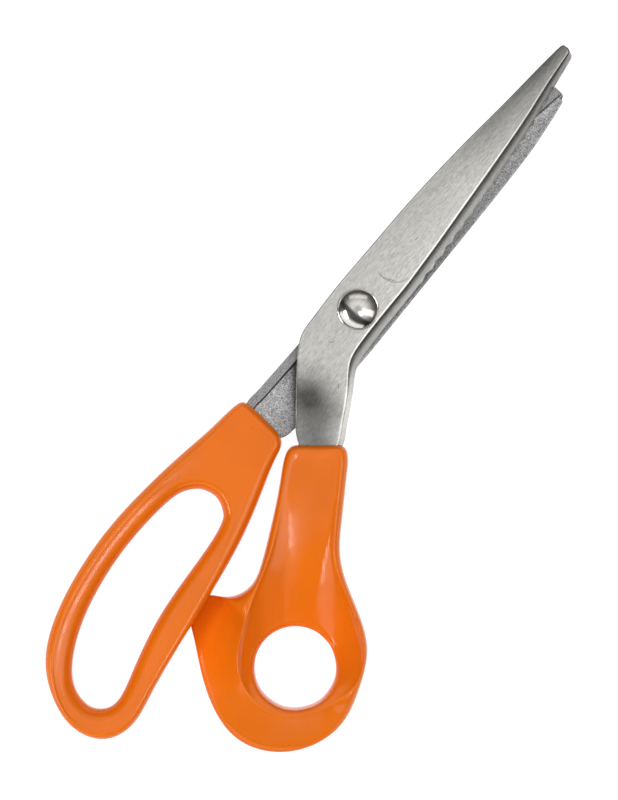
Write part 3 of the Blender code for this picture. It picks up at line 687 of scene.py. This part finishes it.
def stop_rebate():
    """Cutter for the step under the finger handle where the thumb handle's shelf comes to rest."""
    sections = [[(x, y, z) for x, y in REBATE] for z in REBATE_HEIGHTS]
    return mesh_piece("rebate_cutter", *loft(sections, closed=False), None)


def tang_pocket(stations, side):
    """Cutter for the pocket in a handle that is moulded round a tang."""
    return mesh_piece("tang_cutter", *loft(tang_sections(stations, side, MOULD_FIT), closed=False), None)


# ---- pivot

def pivot_screw(finish):
    """Polished dome with a fine rim, and its shank."""
    seat = MATING_Z + FLANGE_HEIGHT + GAP
    inner = HEAD_RADIUS - RIM_WIDTH
    sphere = (inner**2 + DOME_HEIGHT**2) / (2 * DOME_HEIGHT)
    foot = NUT_FLOOR + GAP
    rings = [(SHANK_RADIUS - SHANK_CHAMFER, foot), (SHANK_RADIUS, foot + SHANK_CHAMFER)]
    rings += [(SHANK_RADIUS, seat), (HEAD_RADIUS - 0.2, seat), (HEAD_RADIUS - 0.06, seat + 0.06)]
    rings += [(HEAD_RADIUS, seat + 0.2), (HEAD_RADIUS, seat + 0.36), (HEAD_RADIUS - 0.05, seat + 0.45)]
    rings += [(HEAD_RADIUS - 0.16, seat + 0.5), (HEAD_RADIUS - 0.26, seat + 0.46), (inner, seat + 0.34)]
    half = math.asin(inner / sphere)
    for k in range(DOME_RINGS):
        angle = half * (1 - (k + 0.5) / DOME_RINGS)
        z = seat + HEAD_RIM + DOME_HEIGHT - sphere * (1 - math.cos(angle))
        rings.append((sphere * math.sin(angle), z))
    return mesh_piece("pivot_screw_finished", *turned(rings, TURNED_SEGMENTS), finish, 34)


def ring_washer(name, inner, outer, low, cone, thickness, finish):
    """A flat or coned ring with broken edges."""
    edge = WASHER_EDGE
    rings = [(inner, low + cone + edge), (inner + edge, low + cone)]
    rings += [(outer - edge, low), (outer, low + edge)]
    rings += [(outer, low + thickness - edge), (outer - edge, low + thickness)]
    rings += [(inner + edge, low + thickness + cone), (inner, low + thickness + cone - edge)]
    return mesh_piece(name, *turned(rings, PLAIN_SEGMENTS, blind=False), finish, 30)


def lock_nut(finish):
    """Blind hexagonal nut with turned-down corners and a flat closed back."""
    top = MATING_Z - FLANGE_HEIGHT - WASHER_THICKNESS - WASHER_CONE - 2 * GAP
    flat = NUT_ACROSS_FLATS / 2

    def hexagon(angle):
        """Distance from the centre to the hexagon's side."""
        return flat / math.cos((angle + math.pi / 6) % (math.pi / 3) - math.pi / 6)

    def trimmed(limit):
        """The hexagon with its corners turned down to a circle."""
        return lambda angle: min(hexagon(angle), flat * limit)

    rings = [(flat - 0.2, 0.0), (trimmed(1.0), 0.06), (trimmed(1.05), 0.3), (trimmed(1.11), 0.52)]
    rings += [(hexagon, 0.75), (hexagon, top - 0.05), (trimmed(1.1), top), (BORE_RADIUS, top)]
    rings += [(BORE_RADIUS, NUT_FLOOR)]
    return mesh_piece("lock_nut_finished", *turned(rings, TURNED_SEGMENTS), finish, 25)


# ---- materials

def add_node(tree, kind, inputs=(), **settings):
    """A node with its settings and its inputs, each a value or another node's output."""
    made = tree.nodes.new("ShaderNode" + kind)
    for key, value in settings.items():
        setattr(made, key, value)
    for key, value in dict(inputs).items():
        if isinstance(value, bpy.types.NodeSocket):
            tree.links.new(value, made.inputs[key])
        else:
            made.inputs[key].default_value = value
    return made


def grey_ramp(tree, value, stops, interpolation="LINEAR"):
    """A grey that follows (position, level) stops."""
    made = add_node(tree, "ValToRGB", {"Fac": value})
    made.color_ramp.interpolation = interpolation
    for position, level in stops[1:-1]:
        made.color_ramp.elements.new(position)
    for element, (position, level) in zip(made.color_ramp.elements, stops):
        element.position = position
        element.color = (level, level, level, 1.0)
    return made.outputs["Color"]


class Finish:
    """A Principled material and short ways to wire its nodes."""

    def __init__(self, name, colour, roughness, metallic):
        self.material = bpy.data.materials.new(name)
        self.material.use_nodes = True
        self.tree = self.material.node_tree
        self.shader = self.tree.nodes["Principled BSDF"]
        self.shader.inputs["Base Color"].default_value = colour
        self.shader.inputs["Roughness"].default_value = roughness
        self.shader.inputs["Metallic"].default_value = metallic
        self.place = self.tree.nodes.new("ShaderNodeTexCoord").outputs["Object"]

    def node(self, kind, inputs=(), **settings):
        """A node of this material."""
        return add_node(self.tree, kind, inputs, **settings)

    def noise(self, vector, scale, detail, roughness):
        """Fractal noise from 0 to 1."""
        inputs = {"Vector": vector, "Scale": scale, "Detail": detail, "Roughness": roughness}
        return self.node("TexNoise", inputs).outputs["Fac"]

    def grain(self, turn_degrees, scale, detail, roughness):
        """Noise in object coordinates that are turned about Z and stretched."""
        inputs = {"Vector": self.place, "Rotation": (0, 0, -math.radians(turn_degrees)), "Scale": scale}
        return self.noise(self.node("Mapping", inputs).outputs["Vector"], 1.0, detail, roughness)

    def ramp(self, value, low, high, out_low, out_high):
        """A value mapped from one range to another, clamped."""
        inputs = {"Value": value, "From Min": low, "From Max": high}
        inputs.update({"To Min": out_low, "To Max": out_high})
        return self.node("MapRange", inputs).outputs["Result"]

    def mix(self, factor, first, second, blend="MIX"):
        """A mix of two colours."""
        inputs = {0: factor, 6: first, 7: second}
        return self.node("Mix", inputs, data_type="RGBA", blend_type=blend).outputs[2]

    def maths(self, operation, first, second):
        """Arithmetic on two values."""
        return self.node("Math", {0: first, 1: second}, operation=operation).outputs["Value"]

    def settings(self, group, **values):
        """Set a group of the shader's own sockets."""
        for name, value in values.items():
            self.shader.inputs[group + " " + name].default_value = value

    def link(self, output, name):
        """Feed a shader socket."""
        self.tree.links.new(output, self.shader.inputs[name])

    def bump(self, height, distance, strength, over=None):
        """Bump from a height, on top of another bump."""
        inputs = {"Height": height, "Distance": distance, "Strength": strength}
        if over:
            inputs["Normal"] = over
        return self.node("Bump", inputs).outputs["Normal"]

    def times(self, first, second):
        """The product of two values."""
        return self.maths("MULTIPLY", first, second)

    def distance(self, start, end):
        """Distance between two places."""
        return self.node("VectorMath", {0: start, 1: end}, operation="DISTANCE").outputs["Value"]

    def facing(self):
        """How far the surface faces up: the Z of its own normal."""
        normal = self.node("TexCoord").outputs["Normal"]
        return self.node("SeparateXYZ", {"Vector": normal}).outputs["Z"]


def scratch(finish, centre, radius, middle, reach):
    """Mask of one fine curved scratch: an arc about a centre, near its middle point, in millimetres."""
    far = finish.distance(finish.place, mm_point(centre))
    near = finish.distance(finish.place, mm_point(middle))
    off = finish.maths("ABSOLUTE", finish.maths("SUBTRACT", far, radius * MILLIMETRE), 0.0)
    line = finish.ramp(off, 0.00004, 0.00016, 1.0, 0.0)
    fade = finish.ramp(near, reach * 0.0006, reach * 0.001, 1.0, 0.0)
    return finish.times(line, fade)


def mm_point(point):
    """A plan point on the upper blade's face, in metres."""
    return (point[0] * MILLIMETRE, point[1] * MILLIMETRE, (MATING_Z + FLANGE_HEIGHT) * MILLIMETRE)


# Painted reflection on the bend, as tone by how far the surface faces up, from the side face (0) to the
# web (1): a grey flange, a dark band and a bright line along the cutting side, and a bright flange along
# the tang
BLADE_BEND_PAINTED_REFLECTION = [(0.0, 0.52), (0.08, 0.52), (0.32, 0.49), (0.6, 0.5), (0.76, 0.4), (0.85, 0.09)]
BLADE_BEND_PAINTED_REFLECTION += [(0.93, 0.09), (0.962, 0.35), (0.976, 0.9), (0.99, 0.95), (0.998, 0.67), (1.0, 0.67)]
TANG_BEND_PAINTED_REFLECTION = [(0.0, 0.3), (0.2, 0.4), (0.32, 0.95), (0.6, 1.0), (0.85, 1.0), (0.97, 0.95)]
TANG_BEND_PAINTED_REFLECTION += [(0.998, 0.67), (1.0, 0.67)]

# Scratches on the upper blade: centre of the arc, its radius, middle of the scratch, its reach
SCRATCHES = [
    ((16.0, -0.4), 4.8, (12.4, -3.2), 4.0),
    ((16.6, -0.2), 5.6, (11.3, 0.7), 1.8),
    ((17.5, 0.5), 6.1, (12.0, -1.8), 1.6),
    ((25.0, 0.6), 0.9, (25.2, -0.3), 0.8),
    ((-11.0, 0.8), 1.0, (-11.5, -0.1), 0.9),
    ((-19.0, -10.0), 1.3, (-19.7, -8.9), 0.9),
]
# Painted dark reflections on the upper tang: middle in millimetres, radii where they start and stop
# fading, depth
PAINTED_TANG_REFLECTIONS = [
    ((-24.6, -1.6), 0.0024, 0.0108, 0.8),
    ((-31.8, -9.6), 0.0012, 0.0078, 0.62),
]


def painted_blade_shade(finish):
    """Painted shade and light of the upper blade: darker towards the spine, the tip, over the tang and
    around the pivot, painted dark reflections on the tang, a painted dark band and bright line along the
    bend, a grey flange, and lighter along the toothed edge.
    """
    split = finish.node("SeparateXYZ", {"Vector": finish.place})
    x, y = split.outputs["X"], split.outputs["Y"]
    along = finish.ramp(x, 0.0, 0.09, 0.0, 0.077)
    slant = finish.times(along, 0.068)
    above = finish.maths("SUBTRACT", finish.maths("ADD", y, 0.0056), slant)
    width = finish.maths("SUBTRACT", 0.0138, finish.times(along, 0.147))
    share = finish.ramp(finish.maths("DIVIDE", above, width), 0.0, 1.0, 0.0, 1.0)
    # painted shade: darker towards the spine, the tip, over the tang and around the pivot
    spine_shade = finish.times(share, finish.ramp(x, -0.01, 0.06, 0.04, 0.34))
    shade = finish.maths("SUBTRACT", finish.ramp(x, 0.045, 0.085, 1.03, 0.52), spine_shade)
    shade = finish.times(shade, finish.ramp(x, -0.037, -0.023, 0.64, 1.0))
    shade = finish.times(shade, finish.ramp(x, -0.008, 0.01, 0.9, 1.0))
    cloud = finish.node("TexNoise", {"Vector": finish.place, "Scale": 120.0}).outputs["Color"]
    ragged = finish.node("VectorMath", {0: cloud, 1: (0.006, 0.006, 0.0)}, operation="MULTIPLY")
    moved = finish.node("VectorMath", {0: finish.place, 1: ragged.outputs["Vector"]}, operation="ADD")
    # painted dark reflections on the tang, with ragged edges
    for middle, near, far, depth in PAINTED_TANG_REFLECTIONS:
        apart = finish.distance(moved.outputs["Vector"], mm_point(middle))
        painted_reflection = finish.ramp(apart, near, far, depth, 0.0)
        shade = finish.times(shade, finish.maths("SUBTRACT", 1.0, painted_reflection))
    facing = finish.facing()
    on_tang = finish.ramp(x, -0.022, -0.013, 1.0, 0.0)
    # painted reflection on the bend, from how far the surface faces up
    bends = [grey_ramp(finish.tree, facing, stops) for stops in (BLADE_BEND_PAINTED_REFLECTION, TANG_BEND_PAINTED_REFLECTION)]
    bend = finish.mix(on_tang, *bends)
    shade = finish.times(shade, finish.times(bend, 1.5))
    radius = finish.distance(finish.place, (0.0, 0.0, 0.0))
    phase = finish.maths("SUBTRACT", radius, TOOTH_START * MILLIMETRE)
    phase = finish.times(phase, math.tau / (TOOTH_PITCH * MILLIMETRE))
    rim = finish.times(finish.maths("SINE", phase, 0.0), TOOTH_DEPTH / 2 * MILLIMETRE)
    rise = finish.maths("ADD", finish.maths("SUBTRACT", split.outputs["Z"], MATING_Z * MILLIMETRE), rim)
    toothed = finish.ramp(x, 0.016, 0.02, 0.0, 1.0)
    # lighter along the toothed cutting edge, on its steep faces
    lighter_edge = finish.times(finish.ramp(rise, 0.0003, 0.0009, 0.6, 0.0), toothed)
    lighter_edge = finish.times(lighter_edge, finish.ramp(facing, 0.1, 0.5, 1.0, 0.0))
    return finish.maths("ADD", shade, lighter_edge)


def brushed_steel(name, colour, roughness, grain_turn, contrast, scratches=(), with_painted_shade=False):
    """Steel ground in one direction, with short streaks of tone, fine scratches and darker specks, and
    optionally the upper blade's painted shade and light.
    """
    finish = Finish(name, colour, roughness, 1.0)
    streaks = finish.grain(grain_turn, (650.0, 4200.0, 1200.0), 5.0, 0.8)
    threads = finish.grain(grain_turn, (60.0, 3600.0, 900.0), 3.0, 0.6)
    cloud = finish.grain(grain_turn, (28.0, 110.0, 60.0), 3.0, 0.5)
    specks = finish.grain(grain_turn, (700.0, 1300.0, 800.0), 3.0, 0.6)
    dark = tuple(value * (1 - 0.4 * contrast) for value in colour[:3]) + (1.0,)
    light = tuple(min(value * (1 + 0.25 * contrast), 1.0) for value in colour[:3]) + (1.0,)
    tone = finish.mix(finish.ramp(streaks, 0.35, 0.65, 0.0, 1.0), dark, light)
    tone = finish.mix(finish.ramp(cloud, 0.35, 0.7, 0.0, 0.12 * contrast), tone, dark)
    tone = finish.mix(finish.ramp(specks, 0.68, 0.76, 0.0, 0.4), tone, (0.16, 0.155, 0.15, 1.0))
    for mark in scratches:
        mask = finish.times(scratch(finish, *mark), 0.7)
        tone = finish.mix(mask, tone, (0.12, 0.11, 0.1, 1.0))
    if with_painted_shade:
        # the upper blade's painted shade, reflections and highlights, multiplied into its colour
        tone = finish.mix(1.0, tone, painted_blade_shade(finish), "MULTIPLY")
    finish.link(tone, "Base Color")
    finish.link(finish.ramp(streaks, 0.3, 0.7, roughness - 0.05, roughness + 0.07), "Roughness")
    normal = finish.bump(streaks, 0.00001 * contrast, 0.5)
    finish.link(finish.bump(threads, 0.000006 * contrast, 0.6, normal), "Normal")
    across = math.radians(90 + grain_turn)
    tangent = finish.node(
        "VectorTransform", {"Vector": (math.cos(across), math.sin(across), 0.0)},
        convert_from="OBJECT", convert_to="WORLD",
    )
    finish.shader.inputs["Anisotropic"].default_value = 0.6
    finish.link(tangent.outputs["Vector"], "Tangent")
    return finish.material


def ground_steel(name, colour, roughness):
    """Satin steel with a fine sand-like grain, and painted shade and light along its length."""
    finish = Finish(name, colour, roughness, 1.0)
    grain = finish.noise(finish.place, 3400.0, 2.0, 0.7)
    coarse = finish.noise(finish.place, 700.0, 4.0, 0.7)
    lines = finish.grain(0, (20.0, 1400.0, 600.0), 4.0, 0.6)
    dark = tuple(value * 0.2 for value in colour[:3]) + (1.0,)
    light = tuple(min(value * 1.75, 1.0) for value in colour[:3]) + (1.0,)
    tone = finish.mix(finish.ramp(grain, 0.3, 0.7, 0.0, 1.0), dark, light)
    tone = finish.mix(finish.ramp(coarse, 0.4, 0.75, 0.0, 0.15), tone, dark)
    along = finish.node("SeparateXYZ", {"Vector": finish.place}).outputs["X"]
    # painted shade and light: darker past the pivot, lighter again towards the tip
    tone = finish.mix(1.0, tone, finish.ramp(along, -0.012, 0.015, 0.78, 0.5), "MULTIPLY")
    tone = finish.mix(1.0, tone, finish.ramp(along, 0.02, 0.06, 1.0, 1.5), "MULTIPLY")
    finish.link(tone, "Base Color")
    finish.link(finish.ramp(coarse, 0.3, 0.7, roughness - 0.06, roughness + 0.1), "Roughness")
    normal = finish.bump(grain, 0.00003, 0.6)
    finish.link(finish.bump(lines, 0.00001, 0.4, normal), "Normal")
    return finish.material


def polished_steel(name):
    """Bright turned and buffed steel with faint lines."""
    finish = Finish(name, (0.56, 0.54, 0.51, 1.0), 0.1, 1.0)
    lines = finish.grain(11, (90.0, 2600.0, 90.0), 4.0, 0.7)
    haze = finish.noise(finish.place, 260.0, 4.0, 0.6)
    share = finish.ramp(lines, 0.4, 0.7, 0.0, 0.5)
    tone = finish.mix(share, (0.60, 0.58, 0.55, 1.0), (0.42, 0.40, 0.37, 1.0))
    finish.link(tone, "Base Color")
    finish.link(finish.ramp(haze, 0.3, 0.7, 0.11, 0.19), "Roughness")
    finish.link(finish.bump(lines, 0.000004, 0.5), "Normal")
    return finish.material


def moulded_plastic(name, colour, seed):
    """Glossy orange moulding with slight tone drift, faint dimples, rubbed spots and dust specks."""
    finish = Finish(name, colour, 0.22, 0.0)
    facing = finish.facing()
    finish.shader.inputs["Specular IOR Level"].default_value = 0.34
    finish.link(finish.ramp(facing, 0.35, 0.75, 0.03, 0.34), "Specular IOR Level")
    finish.settings("Subsurface", Weight=0.05, Radius=(1.0, 0.35, 0.1), Scale=0.0012)
    shifted = {"Vector": finish.place, "Location": (seed, 0.0, 0.0)}
    place = finish.node("Mapping", shifted).outputs["Vector"]
    drift = finish.noise(place, 45.0, 3.0, 0.5)
    peel = finish.noise(place, 420.0, 3.0, 0.5)
    rubbed = finish.noise(place, 160.0, 6.0, 0.7)
    specks = finish.noise(place, 1500.0, 2.0, 0.5)
    patches = finish.noise(place, 70.0, 2.0, 0.5)
    deep = tuple(value * 0.9 for value in colour[:3]) + (1.0,)
    tone = finish.mix(finish.ramp(drift, 0.35, 0.65, 0.0, 1.0), deep, colour)
    dusty = finish.ramp(patches, 0.5, 0.62, 0.0, 0.5)
    speck = finish.times(finish.ramp(specks, 0.68, 0.74, 0.0, 1.0), dusty)
    tone = finish.mix(speck, tone, (0.25, 0.07, 0.015, 1.0))
    finish.link(tone, "Base Color")
    finish.link(finish.ramp(rubbed, 0.42, 0.78, 0.13, 0.27), "Roughness")
    finish.link(finish.bump(peel, 0.00002, 0.25), "Normal")
    return finish.material


# ---- stage

TABLE_HALF = 2500.0
AIM = (-0.025, -0.02, 0.0)    # where the lights point, in metres
# Brightness of the surroundings from straight down (0) to straight up (1)
SKY = [(0.0, 0.08), (0.3, 0.08), (0.55, 0.25), (0.75, 0.82)]
SKY += [(0.9, 1.22), (0.955, 1.22), (0.985, 0.75), (1.0, 0.66)]
# The same from the left (0) over the top to the right (1), with one dark strip
STRIP = [(0.0, 1.0), (0.24, 1.0), (0.26, 0.1), (0.39, 0.1), (0.45, 1.0), (1.0, 1.0)]


def floor():
    """White table top."""
    finish = Finish("table_white", (0.2, 0.2, 0.2, 1.0), 0.9, 0.0)
    finish.settings("Emission", Color=(1.0, 1.0, 1.0, 1.0), Strength=0.97)
    reach = TABLE_HALF * MILLIMETRE
    corners = [(-reach, -reach, 0.0), (reach, -reach, 0.0), (reach, reach, 0.0), (-reach, reach, 0.0)]
    mesh = bpy.data.meshes.new("table_top")
    mesh.from_pydata(corners, [], [(0, 1, 2, 3)])
    mesh.materials.append(finish.material)
    top = bpy.data.objects.new("table_top", mesh)
    bpy.context.scene.collection.objects.link(top)


def softbox(name, towards, distance, size, power):
    """A soft area light that looks at the shears."""
    light = bpy.data.lights.new(name, "AREA")
    light.shape = "RECTANGLE"
    light.size, light.size_y = size
    light.energy = power
    lamp = bpy.data.objects.new(name, light)
    bpy.context.scene.collection.objects.link(lamp)
    direction = Vector(towards).normalized()
    lamp.location = Vector(AIM) + direction * distance
    lamp.rotation_mode = "QUATERNION"
    lamp.rotation_quaternion = direction.to_track_quat("Z", "Y")


def world():
    """Pale surroundings, darker at the horizon and behind the camera, with one dark strip beside it."""
    made = bpy.data.worlds.new("studio")
    bpy.context.scene.world = made
    made.use_nodes = True
    tree = made.node_tree
    place = add_node(tree, "TexCoord").outputs["Generated"]
    split = add_node(tree, "SeparateXYZ", {0: place}).outputs
    lean = add_node(tree, "Math", {0: split["X"], 1: split["Z"]}, operation="ARCTAN2")
    half = {"Value": lean.outputs[0], "From Min": -math.pi / 2, "From Max": math.pi / 2}
    lean = add_node(tree, "MapRange", half).outputs["Result"]
    inputs = {0: 1.0, 6: grey_ramp(tree, split["Z"], SKY), 7: grey_ramp(tree, lean, STRIP, "EASE")}
    both = add_node(tree, "Mix", inputs, data_type="RGBA", blend_type="MULTIPLY")
    tree.links.new(both.outputs[2], tree.nodes["Background"].inputs["Color"])


def camera():
    """Long lens straight above, turned so that the blades point up and to the right."""
    view_mm = 219.2
    lens = bpy.data.cameras.new("camera")
    lens.sensor_width = 36.0
    lens.lens = 200.0
    lens.clip_start, lens.clip_end = 0.05, 20.0
    made = bpy.data.objects.new("camera", lens)
    bpy.context.scene.collection.objects.link(made)
    height = view_mm * lens.lens / lens.sensor_width
    made.location = Vector((-27.7, -5.1, height + MATING_Z)) * MILLIMETRE
    made.rotation_euler = (0.0, 0.0, math.radians(-51.1))
    bpy.context.scene.camera = made


# ---- the shears

def place(piece, node, body, slot):
    """A finished piece stands for its CAD node and moves with the node's body."""
    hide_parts(node)
    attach(piece, body)


def build():
    """Make every piece and its finish."""
    orange = (0.91, 0.186, 0.005, 1.0)
    web_steel = (0.575, 0.562, 0.535, 1.0)
    upper_steel = brushed_steel("blade_brushed_steel", web_steel, 0.33, 11, 0.9, SCRATCHES, True)
    lower_steel = ground_steel("blade_ground_steel", (0.40, 0.40, 0.40, 1.0), 0.4)
    polished = polished_steel("screw_polished_steel")
    nut_steel = brushed_steel("nut_turned_steel", (0.60, 0.60, 0.60, 1.0), 0.28, 45, 0.4)
    spring = brushed_steel("washer_spring_steel", (0.38, 0.38, 0.38, 1.0), 0.35, 20, 0.4)
    bronze = brushed_steel("bearing_bronze", (0.55, 0.38, 0.16, 1.0), 0.4, 70, 0.4)
    finger_plastic = moulded_plastic("handle_orange", orange, 0.0)
    thumb_plastic = moulded_plastic("handle_orange_thumb", orange, 0.7)

    curves = (UPPER_EDGE, UPPER_SPINE, UPPER_FLANGE, UPPER_RADII)
    upper = blade_sections(UPPER_STATIONS, UPPER_TIP, *curves, 1)
    upper = blade("upper_blade_finished", upper, 1, upper_steel)
    place(upper, "upper_blade", "upper", "upper_blade_steel")
    curves = (LOWER_EDGE, LOWER_SPINE, LOWER_FLANGE, LOWER_RADII)
    lower = blade_sections(LOWER_STATIONS, LOWER_TIP, *curves, -1)
    lower = blade("lower_blade_finished", lower, -1, lower_steel)
    place(lower, "lower_blade", "lower", "lower_blade_steel")

    shape = loft(finger_sections(), closed=True)
    finger = mesh_piece("finger_handle_finished", *shape, finger_plastic, 60)
    applied_boolean(finger, tang_pocket(LOWER_STATIONS[:5], -1), "DIFFERENCE")
    applied_boolean(finger, stop_rebate(), "DIFFERENCE")
    place(finger, "finger_handle", "lower", "handle_plastic")
    shape = loft(thumb_sections(), closed=True)
    thumb = mesh_piece("thumb_handle_finished", *shape, thumb_plastic, 60)
    applied_boolean(thumb, tang_pocket(UPPER_STATIONS[:6], 1), "DIFFERENCE")
    place(thumb, "thumb_handle", "upper", "handle_plastic")

    place(pivot_screw(polished), "pivot_screw", "lower", "polished_steel")
    low = MATING_Z - BOSS_TO_MATING + GAP
    height = 2 * (BOSS_TO_MATING - GAP)
    bearing = ring_washer(
        "bearing_washer_finished", WASHER_BORE, BEARING_RADIUS, low, 0.0, height, bronze
    )
    place(bearing, "bearing_washer", "lower", "bearing_bronze")
    low = MATING_Z - FLANGE_HEIGHT - GAP - WASHER_THICKNESS - WASHER_CONE
    coned = ring_washer(
        "spring_washer_finished", WASHER_BORE, WASHER_RADIUS, low, WASHER_CONE,
        WASHER_THICKNESS, spring,
    )
    place(coned, "spring_washer", "lower", "spring_steel")
    place(lock_nut(nut_steel), "lock_nut", "lower", "nut_steel")


def stage():
    """Table, lights, surroundings and camera."""
    floor()
    world()
    softbox("softbox_left", (-0.663, 0.383, 0.643), 1.1, (0.5, 0.12), 2.8)
    softbox("screen_left", (-0.866, -0.09, 0.49), 1.15, (2.4, 0.42), 4.2)
    softbox("softbox_front", (-0.09, -0.278, 0.956), 1.1, (0.06, 0.3), 0.65)
    softbox("screen_front", (0.25, -0.565, 0.785), 1.15, (0.42, 1.0), 2.0)
    softbox("screen_back", (0.62, 0.48, 0.62), 1.15, (1.3, 0.3), 0.9)
    camera()
    bpy.context.scene.view_settings.view_transform = "Standard"


build()
stage()
